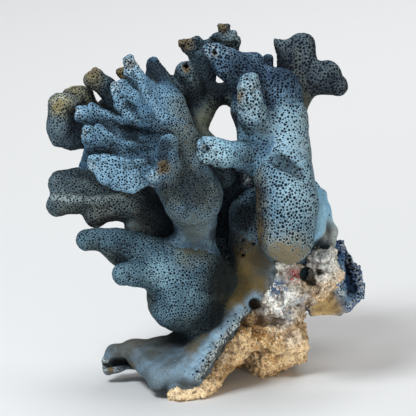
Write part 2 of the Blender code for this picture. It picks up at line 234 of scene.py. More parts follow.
def as_object(name, points, faces, masks):
    """A mesh object of a skin, with each mask kept as a value on its points."""
    mesh = bpy.data.meshes.new(name)
    mesh.vertices.add(len(points))
    mesh.vertices.foreach_set("co", on_stand(points).astype(np.float32).ravel())
    mesh.loops.add(faces.size)
    mesh.loops.foreach_set("vertex_index", faces.ravel().astype(np.int32))
    mesh.polygons.add(len(faces))
    mesh.polygons.foreach_set("loop_start", np.arange(0, faces.size, 4, dtype=np.int32))
    mesh.update(calc_edges=True)
    mesh.shade_smooth()
    for mask, values in masks.items():
        kept = mesh.attributes.new(mask, "FLOAT", "POINT")
        kept.data.foreach_set("value", np.clip(values, 0, 1).astype(np.float32))
    thing = bpy.data.objects.new(name, mesh)
    bpy.context.scene.collection.objects.link(thing)
    return thing


def patches(points, spots, seed=5, fade=0.9):
    """A mask over patches, each (across, up, back, radius, strength), longer front to back."""
    mask = np.zeros(len(points), np.float32)
    ragged = noise(points, 3.0, seed) * 0.16 + noise(points, 1.2, seed + 1) * 0.10
    for x, up, back, radius, strength in spots:
        off = (points - (x, back, up)) * (1, 0.6, 1)
        away = np.sqrt((off ** 2).sum(1)) / radius + ragged
        edge = np.clip((1.25 - away) / fade, 0, 1)
        mask = np.maximum(mask, strength * edge * edge * (3 - 2 * edge))
    return mask


def rubble_relief(points):
    """Cemented grains: rounded lumps of three sizes with sharp clefts between them."""
    lumps = np.abs(noise(points, 7.0, 11)) * 2.4 + np.abs(noise(points, 3.0, 12)) * 1.7
    return 1.5 - lumps - np.abs(noise(points, 1.5, 13)) * 1.0


ROCK_LIMBS = [
    [(-18.5, 2.5, -22, 4.4), (-12, 4.5, -18, 5), (-7.5, 8.5, -12, 5.6), (-3, 16, -4, 6.5),
     (5, 25, 2, 9)],
    [(10, 26, 12, 11), (20, 25, 12, 12), (26.2, 24, 14, 7.6)],
    [(15.8, 13.5, 11, 6.2), (19, 17.5, 15, 7.5)],
    [(20, 40, 6, 12), (26, 44, 6, 10)],
    [(22, 50, 4, 10), (20, 44, 2, 9)],
    [(12, 40, 6, 8), (20, 30, 10, 12)],
    [(29.7, 18.3, 14, 4.2), (26, 20, 14, 6)],
    [(39, 57, 2, 6), (40, 49, 2, 6), (34, 42, 4, 6)],
    [(12, 20, 30, 12), (-8, 20, 28, 12), (-20, 16, 22, 9)],
    [(10, 22, 34, 13), (22, 26, 32, 10)],
    [(8, 40, 26, 12), (22, 44, 24, 11)],
]
ROCK_PITS = [
    [(11.2, 38.8, -18, 2.3), (12, 38.5, 4, 2.1)],
    [(37.7, 51.3, -8, 1.1), (37.7, 51.3, 4, 0.9)],
    [(31.6, 51, -12, 3.0), (33, 50, 4, 2.8)],
    [(33, 46.5, -8, 2.2), (35, 48.5, 2, 2.0)],
    [(39.5, 64.5, -8, 1.8), (40, 60, 4, 2.2)],
    [(8.5, 38, -16, 1.0), (9.5, 38, -3, 1.2)],
    [(5, 30.5, -5, 1.8), (10, 31.8, -3, 2.1), (16, 32, -1.5, 2.1), (22, 31.5, -1.5, 1.6)],
    [(21.5, 17.5, -8, 1.0), (21.5, 17.5, 2, 0.8)],
]
rock_points, rock_faces = formed("reef_rock", ROCK_LIMBS, rubble_relief, soft=2.5,
                                 pits=ROCK_PITS)


def made(tree, kind, feeds=(), **settings):
    """Adds a node, feeds its inputs from sockets or with plain values, gives its outputs."""
    node = tree.nodes.new(kind)
    for key, value in settings.items():
        setattr(node, key, value)
    for key, value in dict(feeds).items():
        if isinstance(value, bpy.types.NodeSocket):
            tree.links.new(value, node.inputs[key])
        else:
            node.inputs[key].default_value = value
    return node.outputs


def maths(tree, operation, one, other):
    return made(tree, "ShaderNodeMath", {0: one, 1: other}, operation=operation)[0]


def vectors(tree, operation, one, other):
    return made(tree, "ShaderNodeVectorMath", {0: one, 1: other}, operation=operation)[0]


def times(tree, vector, number):
    """A vector or a colour times a number."""
    feeds = {0: vector, "Scale": number}
    return made(tree, "ShaderNodeVectorMath", feeds, operation="SCALE")[0]


def length(tree, vector):
    return made(tree, "ShaderNodeVectorMath", {0: vector}, operation="LENGTH")["Value"]


def blend(tree, share, one, other):
    """Mixes two colours by a share."""
    one, other = ((*tone, 1) if isinstance(tone, tuple) else tone for tone in (one, other))
    return made(tree, "ShaderNodeMix", {0: share, 6: one, 7: other}, data_type="RGBA")[2]


def painted(tree, colour, coats):
    """Lays coats of colour over each other, each (where, how much of it, colour)."""
    for where, much, tone in coats:
        share = where if much == 1 else maths(tree, "MULTIPLY", where, much)
        colour = blend(tree, share, colour, tone)
    return colour


def stepped(tree, value, low, high):
    """A smooth ramp from 0 at low to 1 at high."""
    feeds = {"Value": value, "From Min": low, "From Max": high}
    return made(tree, "ShaderNodeMapRange", feeds, interpolation_type="SMOOTHSTEP")["Result"]


def mask(tree, name):
    return made(tree, "ShaderNodeAttribute", attribute_name=name)["Fac"]


def cloud(tree, place, size, detail, rough):
    """Fractal noise from 0 to 1 with features about this size in mm."""
    return made(tree, "ShaderNodeTexNoise", {"Vector": place, "Scale": 1 / (size * MM),
                                             "Detail": detail, "Roughness": rough})["Fac"]


def new_group(name, kind, takes, gives):
    """A node group with its named sockets: the group, what it is given, what it gives."""
    tree = bpy.data.node_groups.new(name, kind)
    for way, sockets in (("INPUT", takes), ("OUTPUT", gives)):
        for label, sort in sockets.items():
            tree.interface.new_socket(label, in_out=way, socket_type="NodeSocket" + sort)
    given = tree.nodes.new("NodeGroupInput").outputs
    return tree, given, tree.nodes.new("NodeGroupOutput").inputs


def grain_group():
    """Shared by every surface: the speckle, tiny tubes and height of dry limestone."""
    tree, given, out = new_group("limestone grain", "ShaderNodeTree", {"Place": "Vector"}, {
        "Speckle": "Float", "Mottle": "Float", "Tubes": "Float", "Height": "Float"})
    place = given["Place"]
    fine = cloud(tree, place, 0.55, 2.0, 0.6)
    tiny = cloud(tree, place, 0.28, 1.0, 0.5)
    cells = made(tree, "ShaderNodeTexVoronoi", {"Scale": 1 / (0.8 * MM), "Vector": place})
    tubes = maths(tree, "SUBTRACT", 1.0, stepped(tree, cells["Distance"], 0.18, 0.34))
    speckle = maths(tree, "ADD", maths(tree, "MULTIPLY", fine, 0.65),
                    maths(tree, "MULTIPLY", tiny, 0.35))
    height = maths(tree, "SUBTRACT", maths(tree, "ADD", fine, maths(tree, "MULTIPLY", tiny, 0.5)),
                   maths(tree, "MULTIPLY", tubes, 0.6))
    for label, value in (("Speckle", speckle), ("Mottle", cloud(tree, place, 7.0, 3.0, 0.5)),
                         ("Tubes", tubes), ("Height", height)):
        tree.links.new(value, out[label])
    return tree


GRAIN = grain_group()


def pore_group():
    """Shared by every surface: the dark mouth of each pore and its pale rim."""
    tree, given, out = new_group("pore mouths", "ShaderNodeTree", {"Radius": "Float"},
                                 {"Mouth": "Float", "Rim": "Float"})
    share = maths(tree, "ADD", 0.5, maths(tree, "MULTIPLY", mask(tree, "room"), 0.5))
    toward = made(tree, "ShaderNodeAttribute", attribute_name="toward")["Vector"]
    radius = maths(tree, "MULTIPLY", given["Radius"], share)
    away = maths(tree, "DIVIDE", length(tree, toward), radius)
    tree.links.new(maths(tree, "SUBTRACT", 1.0, stepped(tree, away, 0.8, 1.2)), out["Mouth"])
    outside = maths(tree, "SUBTRACT", 1.0, stepped(tree, away, 1.6, 2.5))
    tree.links.new(maths(tree, "MULTIPLY", stepped(tree, away, 1.05, 1.4), outside), out["Rim"])
    return tree


PORE_MOUTHS = pore_group()


def new_surface(name, pore_radius):
    """A material: its nodes and shader, the place on the piece, the grain and the pores."""
    skin = bpy.data.materials.new(name)
    skin.use_nodes = True
    tree = skin.node_tree
    place = made(tree, "ShaderNodeTexCoord")["Object"]
    grain = made(tree, "ShaderNodeGroup", {"Place": place}, node_tree=GRAIN)
    pores = made(tree, "ShaderNodeGroup", {"Radius": pore_radius * MM}, node_tree=PORE_MOUTHS)
    return skin, tree, tree.nodes["Principled BSDF"], place, grain, pores


def finish_surface(tree, shader, colour, height, depth):
    """Feeds the colour and a height, worth so many mm, to the shader."""
    tree.links.new(colour, shader.inputs["Base Color"])
    bump = made(tree, "ShaderNodeBump", {"Strength": 1.0, "Distance": depth * MM,
                                         "Height": height})
    tree.links.new(bump["Normal"], shader.inputs["Normal"])


def rubble_material():
    """Ochre and sand grains, cream and white crust, blue and pink growth, brown clefts, and dark
    brown painted shade in clefts, pits, hollows and where pieces close in.
    """
    ochre, sand, shell = (0.49, 0.275, 0.09), (0.80, 0.56, 0.27), (0.95, 0.87, 0.68)
    cream, blue, pink = (1.0, 0.80, 0.52), (0.06, 0.15, 0.30), (0.62, 0.05, 0.08)
    # the last two colours are painted shade: dark brown for the pits and hollows, and for where
    # pieces close a point in
    rust, umber, hollow_shade, rock_shade = ((0.11, 0.06, 0.03), (0.12, 0.06, 0.03), (0.045, 0.022, 0.011),
                               (0.05, 0.028, 0.014))
    skin, tree, shader, place, grain, pores = new_surface("reef rubble", pore_radius=0.4)
    lumps = stepped(tree, cloud(tree, place, 4.5, 4.0, 0.55), 0.42, 0.62)
    bits = stepped(tree, cloud(tree, place, 1.1, 3.0, 0.7), 0.53, 0.63)
    ragged = stepped(tree, cloud(tree, place, 1.2, 3.0, 0.7), 0.44, 0.56)
    pits = stepped(tree, cloud(tree, place, 1.6, 3.0, 0.7), 0.60, 0.48)
    gaps = stepped(tree, cloud(tree, place, 1.5, 2.0, 0.6), 0.44, 0.34)
    crust = blend(tree, ragged, (0.64, 0.69, 0.67), (1.0, 1.0, 0.95))
    holes = maths(tree, "MAXIMUM", maths(tree, "MULTIPLY", pores["Mouth"], 0.55),
                  mask(tree, "cleft"))
    colour = painted(tree, ochre, [
        (lumps, 1, sand), (bits, 1, shell), (mask(tree, "cream"), 0.9, cream),
        (mask(tree, "pale"), 1, crust),
        (maths(tree, "MULTIPLY", mask(tree, "blue"), pits), 1, blue),
        (maths(tree, "MULTIPLY", mask(tree, "pink"), ragged), 1, pink),
        # holes: pore mouths and clefts, the clefts partly the rock's brown and partly painted
        # shade; brown: painted shade in the worm holes, pits and hollows
        (gaps, 0.7, rust), (holes, 0.75, umber), (mask(tree, "brown"), 0.95, hollow_shade),
        # painted shade where other pieces close a point in
        (mask(tree, "painted_shade"), 0.55, rock_shade)])
    shade = maths(tree, "ADD", 0.4, maths(tree, "MULTIPLY", grain["Speckle"], 1.6))
    finish_surface(tree, shader, times(tree, colour, shade), grain["Height"], depth=0.5)
    shader.inputs["Roughness"].default_value = 0.95
    shader.inputs["Specular IOR Level"].default_value = 0.2
    return skin


# the creases between the lumps, painted dark brown: partly the rock's brown, partly painted shade
rock_clefts = (np.clip(0.45 - np.abs(noise(rock_points, 3.0, 12)) * 1.6
                       - np.abs(noise(rock_points, 1.5, 13)) * 0.8, 0, 1) * 2.2
               + np.clip(0.2 - np.abs(noise(rock_points, 7.0, 11)) * 1.6, 0, 1) * 3.0)
rock = as_object("reef_rock_skin", rock_points, rock_faces, {
    "room": np.ones(len(rock_points)),
    "cleft": rock_clefts,
    # brown: dark brown painted shade in the worm holes, pits and hollows and under overhangs
    "brown": patches(rock_points, [(11.3, 38.7, -6, 3.0, 1.0), (11.5, 38.6, 2, 3.6, 1.0),
                                   (15, 19.5, 3, 2.4, 0.6), (10, 18, 2, 2.2, 0.5),
                                   (20.5, 17.8, 5, 2.0, 0.5), (8.2, 38, -11, 2.0, 0.7),
                                   (14, 32, -1.5, 3.0, 1.0), (8, 31, -4, 3.0, 1.0),
                                   (20, 31.5, -1.5, 2.6, 0.8), (31.5, 51.5, 3, 3.0, 0.85),
                                   (33.5, 47, 2, 2.6, 0.4), (37.7, 51.3, 0, 1.2, 1.0),
                                   (39.5, 64, 3, 2.6, 0.9), (2, 25, -14, 2.4, 0.5)]),
    "pale": patches(rock_points, [(22, 42, -4, 14, 1.0), (38, 56, -2, 13, 1.0),
                                  (24, 52, -6, 10, 1.0), (24, 33, -2, 6, 0.8),
                                  (39, 47, -2, 7, 0.4), (0, 17, -14, 4, 0.4),
                                  (27, 25, 4, 5, 0.4)]),
    "blue": patches(rock_points, [(21, 45, -8, 5, 1.0), (38, 58, -4, 8, 0.35),
                                  (25, 33, -4, 5, 0.5), (31, 38, -2, 6, 0.5),
                                  (14, 35, -8, 4, 0.5)]),
    "pink": patches(rock_points, [(28, 50.5, -5, 4.0, 1.0), (-4, 12, -10, 2.0, 0.4),
                                  (-12, 5, -20, 2.0, 0.4)]),
    "cream": patches(rock_points, [(-14, 4, -20, 14, 1.0), (14, 12, 4, 9, 0.4),
                                   (6, 20, -6, 7, 0.6), (28, 20, 6, 9, 0.9)]),
})


DENSEST = 3.0e6                # most pores in a square metre
SMALLEST, LARGEST = 0.5, 1.3   # how far a pore's size strays from the usual one


def pore_tree():
    """Sinks pores into a surface and keeps the way to the nearest one on it."""
    tree, given, out = new_group("pores", "GeometryNodeTree", {
        "Skin": "Geometry", "Spacing": "Float", "Mouth": "Float", "Depth": "Float",
        "Waver": "Float", "Seed": "Int", "Material": "Material"}, {"Skin": "Geometry"})
    # crumbs cut off by the relief go: islands with under half of the skin's points
    island = made(tree, "GeometryNodeInputMeshIsland")["Island Index"]
    total = made(tree, "GeometryNodeAccumulateField", {"Value": 1, "Group ID": island},
                 data_type="INT", domain="POINT")["Total"]
    whole = made(tree, "GeometryNodeAttributeDomainSize", {0: given["Skin"]},
                 component="MESH")["Point Count"]
    crumbs = maths(tree, "LESS_THAN", total, maths(tree, "MULTIPLY", whole, 0.5))
    skin = made(tree, "GeometryNodeDeleteGeometry",
                {"Geometry": given["Skin"], "Selection": crumbs}, domain="POINT")["Geometry"]

    room = made(tree, "GeometryNodeInputNamedAttribute", {"Name": "room"},
                data_type="FLOAT")["Attribute"]
    pores = made(tree, "GeometryNodeDistributePointsOnFaces", {
        "Mesh": skin, "Distance Min": given["Spacing"], "Density Max": DENSEST,
        "Density Factor": room, "Seed": given["Seed"]}, distribute_method="POISSON")["Points"]
    sizes = made(tree, "FunctionNodeRandomValue", {2: SMALLEST, 3: LARGEST},
                 data_type="FLOAT")[1]
    here = made(tree, "GeometryNodeInputPosition")[0]
    ripple = made(tree, "ShaderNodeTexNoise", {"Scale": 1 / (0.9 * MM), "Detail": 1.0})["Color"]
    waver = times(tree, vectors(tree, "SUBTRACT", ripple, (0.5, 0.5, 0.5)), given["Waver"])
    moved = vectors(tree, "ADD", here, waver)
    nearest = made(tree, "GeometryNodeSampleNearest",
                   {"Geometry": pores, "Sample Position": moved}, domain="POINT")["Index"]
    by_face = made(tree, "GeometryNodeFieldOnDomain", {0: nearest}, data_type="INT",
                   domain="FACE")[0]
    for name, which, domain in (("pore", nearest, "POINT"), ("toward", by_face, "CORNER")):
        spot, size = (made(tree, "GeometryNodeSampleIndex",
                           {"Geometry": pores, "Value": value, "Index": which},
                           data_type=sort, domain="POINT")["Value"]
                      for sort, value in (("FLOAT_VECTOR", here), ("FLOAT", sizes)))
        gap = times(tree, vectors(tree, "SUBTRACT", moved, spot),
                    maths(tree, "DIVIDE", 1.0, size))
        skin = made(tree, "GeometryNodeStoreNamedAttribute",
                    {"Geometry": skin, "Name": name, "Value": gap},
                    data_type="FLOAT_VECTOR", domain=domain)["Geometry"]

    kept = made(tree, "GeometryNodeInputNamedAttribute", {"Name": "pore"},
                data_type="FLOAT_VECTOR")["Attribute"]
    sink = made(tree, "ShaderNodeMapRange", {
        "Value": length(tree, kept), "From Max": given["Mouth"], "To Min": given["Depth"],
        "To Max": 0}, interpolation_type="SMOOTHSTEP")["Result"]
    inward = times(tree, made(tree, "GeometryNodeInputNormal")[0],
                   maths(tree, "MULTIPLY", sink, -1.0))
    skin = made(tree, "GeometryNodeSetPosition", {"Geometry": skin, "Offset": inward})[0]
    skin = made(tree, "GeometryNodeRealizeInstances", {0: skin})[0]
    skin = made(tree, "GeometryNodeSetMaterial", {"Geometry": skin,
                                                  "Material": given["Material"]})[0]
    tree.links.new(skin, out["Skin"])
    return tree


PORES = pore_tree()
skins = []                     # every piece's skin, for the shade that settles at the end


def pierced(piece, material, spacing, seed, mouth=0.7, depth=0.5, waver=0.6):
    """Runs the pore tree on a piece, sizes in mm, and leaves it a plain mesh."""
    run = piece.modifiers.new("pores", "NODES")
    run.node_group = PORES
    given = {"Spacing": spacing * MM, "Mouth": mouth * MM, "Depth": depth * MM,
             "Waver": waver * MM, "Seed": seed, "Material": material}
    for item in PORES.interface.items_tree:
        if item.in_out == "INPUT" and item.name in given:
            run[item.identifier] = given[item.name]
    bpy.context.view_layer.update()
    seen = piece.evaluated_get(bpy.context.evaluated_depsgraph_get())
    mesh = bpy.data.meshes.new_from_object(seen)
    piece.modifiers.clear()
    piece.data = mesh
    skins.append(piece)


pierced(rock, rubble_material(), spacing=1.3, seed=20, mouth=0.8, depth=0.7, waver=1.4)
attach(rock, "root")
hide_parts("reef_rock")

# ======================== skirt
# The living crust that crept over the rock: a smooth beige neck swelling to the middle
# bulb, and a thin apron whose free lip is broken along its edge, with a granular rim.
def coral_relief(points):
    """The slow swell and fine ripple of a living surface that has dried."""
    return noise(points, 7.0, 21) * 0.5 + noise(points, 2.6, 22) * 0.2


def granular(*spots):
    """A coral surface with coarse grains standing up inside some soft balls."""
    def relief(points):
        grains = noise(points, 1.6, 24) * 1.1 + noise(points, 3.4, 25) * 1.2
        return coral_relief(points) + patches(points, spots, 43) * grains
    return relief


NAVY = (0.004, 0.008, 0.019)   # the deep blue inside every pore
OCHRE = (0.24, 0.165, 0.062)   # worn brown tips
CHALK = (0.62, 0.70, 0.71)     # bruised white grains
# the next colour is painted shade, laid where branches close a point in
CLEFT_SHADE = (0.010, 0.014, 0.018)   # where little light and much dirt gets in


def coral_material(name, blue, pale, warm, dark, pore_radius=0.5):
    """Blue coral: blue body, pale worn tips and painted highlight, warm bare crust, dark stain and
    painted shade, and painted shade where branches close in, by masks.
    """
    skin, tree, shader, place, grain, pores = new_surface(name, pore_radius)
    # the tip coat is pale worn tips and also painted highlight on lit spots and edges
    colour = painted(tree, blue, [
        (stepped(tree, grain["Mottle"], 0.35, 0.7), 0.45, pale), (mask(tree, "warm"), 1, warm),
        # the stain coat is real dark stain and also painted shade on shaded sides, necks and
        # hollows
        (mask(tree, "tip_and_highlight"), 1, pale), (pores["Rim"], 0.4, pale), (mask(tree, "stain_and_shade"), 1, dark),
        (mask(tree, "tan"), 1, OCHRE)])
    shade = maths(tree, "ADD", 0.12, maths(tree, "MULTIPLY", grain["Speckle"], 1.76))
    tubes = maths(tree, "MULTIPLY", maths(tree, "MULTIPLY", grain["Tubes"], 0.8),
                  mask(tree, "room"))
    grit = cloud(tree, place, 0.9, 2.0, 0.6)
    white, dents = (maths(tree, "MULTIPLY", mask(tree, "white"), stepped(tree, grit, low, high))
                    for low, high in ((0.47, 0.56), (0.46, 0.38)))
    colour = painted(tree, times(tree, colour, shade), [
        (tubes, 1, NAVY), (white, 1, CHALK), (dents, 1, dark), (pores["Mouth"], 0.98, NAVY),
        # last coat: painted shade where other branches close a point in
        (mask(tree, "painted_shade"), 0.85, CLEFT_SHADE)])
    height = maths(tree, "SUBTRACT", grain["Height"],
                   maths(tree, "MULTIPLY", pores["Mouth"], 1.4))
    finish_surface(tree, shader, colour, height, depth=0.25)
    shader.inputs["Roughness"].default_value = 0.82
    shader.inputs["Specular IOR Level"].default_value = 0.08
    return skin


def along(limb, radius, strength):
    """Round patches set every few mm along a limb, for masks that follow an edge."""
    spots = []
    for one, other in zip(limb, limb[1:]):
        steps = max(1, round(math.dist(one[:3], other[:3]) / radius))
        for step in range(steps + 1):
            share = step / steps
            spots.append([a + (b - a) * share for a, b in zip(one[:3], other[:3])]
                         + [radius, strength])
    return spots


def grown(node, limbs, surface, spacing, seed, relief=coral_relief, bare=(), pored=None,
          tip_and_highlight=(), warm=(), stain_and_shade=(), tan=(), white=(), **form):
    """A coral piece.  It has pores all over but where it is bare, or only where pored; the
    other lists are the patches of each mask.  The tip patches also hold painted highlight on lit
    spots and edges, and the stain patches also hold painted shade."""
    points, faces = formed(node, limbs, relief, **form)
    room = 1 - patches(points, bare, 31) if pored is None else patches(points, pored, 31)
    piece = as_object(node + "_skin", points, faces, {
        "room": room, "tip_and_highlight": patches(points, tip_and_highlight, 33), "warm": patches(points, warm, 35),
        "stain_and_shade": patches(points, stain_and_shade, 37), "tan": patches(points, tan, 39),
        "white": patches(points, white, 41)})
    pierced(piece, surface, spacing, seed)
    return piece


RIM = [(7, 35.5, -11, 2.2), (2, 31, -15, 2.6), (-3, 25.5, -18.5, 2.5), (-7, 19.5, -20.5, 2.4),
       (-12, 11, -24.5, 2.2)]
RIM_FACE = [(x + 1, up - 1, back - 1.5) for x, up, back, size in RIM]
skirt = grown("skirt", [
    [(-43, 18.3, 2, 4.2), (-36, 19, 4, 4.9), (-26, 19, 4, 5.2), (-16, 20.5, 2, 5.8)],
    [(-46.7, 15.6, -1, 2.5), (-44, 18, 1, 4)],
    [(-46.7, 11.8, 0, 1.6), (-43.5, 13.6, 0, 1.8), (-38, 15.4, 0, 1.8)],
    [(12, 62, 2, 10), (9, 50, -2, 9), (4, 40, -5, 7), (-2, 32, -8, 6), (-7, 24, -12, 5.5),
     (-11, 17, -17, 5), (-16, 11, -21, 4.5)],
    [(13.5, 73, 4, 12), (12, 62, 2, 10)],
    RIM,
], webs=[
    [(-36, 18, 0, 4.5), (-26.2, 10, -20, 4.7), (-16, 21, 2, 6)],
    [(-26.2, 10, -20, 4.7), (-16, 11, -21, 4.5), (-16, 21, 2, 6)],
    [(-16, 11, -21, 4.5), (-7, 24, -12, 5), (-16, 21, 2, 6)],
], soft=3.0, relief=granular(*along(RIM_FACE, 3.6, 1.0), (-46, 15, -3, 4, 0.5)),
    onto=["reef_rock"], joint=2.0, pits=[
    [(-49.5, 13.6, -1.5, 1.0), (-43.5, 15.2, -1.8, 1.7), (-39, 15.3, -1.8, 1.6),
     (-35, 13.6, -3, 1.1)],
    [(-43.5, 14.8, 0.8, 1.3), (-38.5, 14.9, 1.2, 1.4)],
    [(11.2, 38.8, -18, 2.3), (12, 38.5, 4, 2.1)],
    [(7, 64, -12, 0.7), (7.3, 64, -5, 0.6)],
    [(11.5, 62.5, -12, 0.7), (11.5, 62.5, -5, 0.6)],
    [(7, 58, -12, 0.6), (7.3, 58, -5, 0.6)],
],
    pored=along(RIM_FACE, 4.0, 1.0) + [
        (-20, 12, -18, 13, 0.12), (-12, 16, -20, 8, 0.12), (7, 67, -9, 8, 0.8)],
    tip_and_highlight=along([(x - 2, up + 1, back) for x, up, back in RIM_FACE], 3.6, 0.8)
    + [(-24, 14, -14, 12, 0.12), (11.2, 38.8, -8, 5.0, 1.0)],
    warm=[(4, 46, -14, 16, 1.0), (9, 56, -10, 11, 0.9), (-6, 30, -14, 9, 0.9),
          (-10, 22, -14, 9, 0.6), (-38, 24, -2, 9, 0.4), (-26, 23, -6, 9, 0.5)],
    stain_and_shade=[(-42, 19, -3, 9, 0.3), (8, 79, -6, 14, 0.65), (4, 46, -12, 9, 0.8),
           (-2, 35, -14, 8, 0.55), (-14, 28, -6, 8, 0.8), (2, 62, -8, 7, 0.5),
           (-8, 25, -16, 5, 0.25), (9, 75, -8, 10, 0.75), (11.2, 38.8, -6, 2.4, 1.0),
           (11.5, 38.6, 1, 3.6, 1.0)]
    + along([(-49, 14, 1), (-43.5, 15.2, 1), (-36, 14.4, 0)], 1.9, 1.0),
    tan=[(-40.5, 14.4, -5, 2.4, 0.8), (-46, 12.4, -3, 1.8, 0.7), (-36.5, 13.5, -7, 2.2, 0.5)],
    white=along([(x + 0.8, up - 0.8, back) for x, up, back in RIM_FACE], 2.6, 0.9)
    + [(-48.5, 15.5, -3, 1.8, 0.8), (-49, 12, -2, 2.4, 0.7), (-43, 12.4, -3, 2.2, 0.6)],
    spacing=2.0, seed=1, surface=coral_material(
        "smooth crust", (0.113, 0.136, 0.147), (0.27, 0.43, 0.57), (0.165, 0.12, 0.04),
        (0.028, 0.024, 0.015), pore_radius=0.5))
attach(skirt, "root")
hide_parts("skirt")

# ======================== lower lobe
# The swollen left foot of the colony, solid blue limestone with open pores and two
# blunt fingers.  It grows out of the skirt with a wide fillet.
lobe = grown("lower_lobe", [
    [(-17, 41, -12, 14), (-15, 52, -10, 14.5)],
    [(-55, 64, -16, 4.5), (-50, 64.6, -15, 4.0), (-43, 62.5, -14, 6), (-34, 58, -12, 8),
     (-22, 54, -10, 11)],
    [(-40.7, 50.5, -24, 4.4), (-35, 51, -22, 4.8), (-27, 51, -17, 8)],
    [(-42, 58.5, -12, 4.3), (-34, 55, -12, 7)],
    [(-15, 52, -8, 13), (2, 45, 4, 9)],
], onto=["skirt"],
    bare=[(-12, 66, -16, 9, 1.0), (3, 44, -6, 11, 0.9)],
    tip_and_highlight=[(-26, 51, -26, 7, 0.9), (-43, 51, -28, 6, 0.5), (-53, 65, -20, 8, 0.3)],
    warm=[(-12, 64, -26, 11, 1.0), (2, 46, -8, 14, 1.0), (-14, 28, -18, 9, 0.3),
          (-33, 40, -10, 7, 0.9), (-46, 57, -16, 5, 0.7), (-52, 60, -16, 4, 0.5)],
    stain_and_shade=[(-54, 64, -18, 9, 0.35), (0, 48, -14, 13, 0.95), (-2, 36, -16, 9, 0.95),
           (-40, 60, -18, 8, 0.4), (-8, 29, -20, 9, 0.8), (-8, 60, -18, 8, 0.5),
           (-4, 46, -17, 8, 0.9), (-18, 30, -20, 6, 0.4), (-10, 61, -24, 7, 0.5)],
    spacing=0.9, seed=2, surface=coral_material(
        "lower lobe", (0.046, 0.092, 0.132), (0.21, 0.36, 0.45), (0.135, 0.13, 0.078),
        (0.012, 0.018, 0.02), pore_radius=0.36))
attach(lobe, "root")
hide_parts("lower_lobe")

# ======================== right trunk
# The tall column on the right, the palest part: a hanging bulb bare at the bottom, a
# creased waist, broad shoulders, and a worn knob standing off its front.
trunk = grown("right_trunk", [
    [(24.6, 66, -22, 11.3), (24.8, 78, -22, 11.8), (23.5, 89, -19, 11.3),
     (23.5, 100, -11, 10.0), (23.3, 112, -8, 9.2), (21, 122, -6, 9.2)],
    [(14.5, 98, -10, 8.5), (13.3, 106, -8, 7.4), (9.6, 116, -5, 6.8), (9, 124, -5, 5.5)],
    [(16, 120, -5, 8), (13, 106, -8, 7.3)],
    [(20, 74, -6, 10), (14, 74, 4, 10)],
    [(24, 90, -8, 11), (24, 70, 2, 12), (24, 52, 12, 11)],
    [(9.7, 127, -20, 4.0), (9.3, 119.5, -20, 4.6), (11, 113.5, -17, 5.4),
     (15, 107, -12, 6.5)],
], grooves=[
    [(17, 98, -25.5, 2.0), (23, 94.5, -28.5, 2.5), (30, 90.5, -29.5, 1.8)],
], relief=granular((10, 122, -24, 9, 0.9)), onto=["skirt"],
    bare=[(25, 53, -28, 12, 0.95), (22, 56, -18, 12, 0.95), (13, 62, -20, 7, 0.8),
          (27, 104, -18, 15, 0.2)],
    tip_and_highlight=[(26, 105, -20, 12, 0.6), (29, 84, -32, 10, 0.45), (9, 118, -24, 10, 0.5)],
    warm=[(24, 56, -30, 14, 1.0), (12, 66, -24, 10, 1.0), (11, 78, -26, 7, 1.0),
          (12, 88, -25, 6, 0.7), (33, 114, -4, 7, 0.7), (33, 100, -14, 8, 0.4)],
    stain_and_shade=[(14, 67, -25, 5, 0.75), (14, 75, -27.5, 5, 0.75), (14, 84, -27, 5, 0.6),
           (12, 64, -22, 7, 0.92), (12, 72, -26, 7, 0.92), (11.5, 82, -26, 7, 0.92),
           (9, 73, -9, 8, 0.9), (2, 112, -8, 7, 0.9), (23, 128, -12, 11, 0.75),
           (24, 50, 0, 10, 0.5), (15, 106, -24, 5, 0.5)]
    + along([(15, 101, -28), (18, 97, -29), (24, 93.5, -30), (30, 90, -31)], 2.8, 0.65),
    tan=[(5.5, 121, -22, 3.4, 0.8), (10.5, 69, -22, 6, 0.5), (10, 80, -22, 6, 0.5)],
    white=[(9.5, 125, -24, 6, 0.35), (8, 116, -24, 5, 0.2)],
    spacing=1.05, seed=3, surface=coral_material(
        "right trunk", (0.1, 0.205, 0.295), (0.345, 0.525, 0.63), (0.205, 0.185, 0.125),
        (0.025, 0.023, 0.018), pore_radius=0.46))
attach(trunk, "root")
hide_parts("right_trunk")
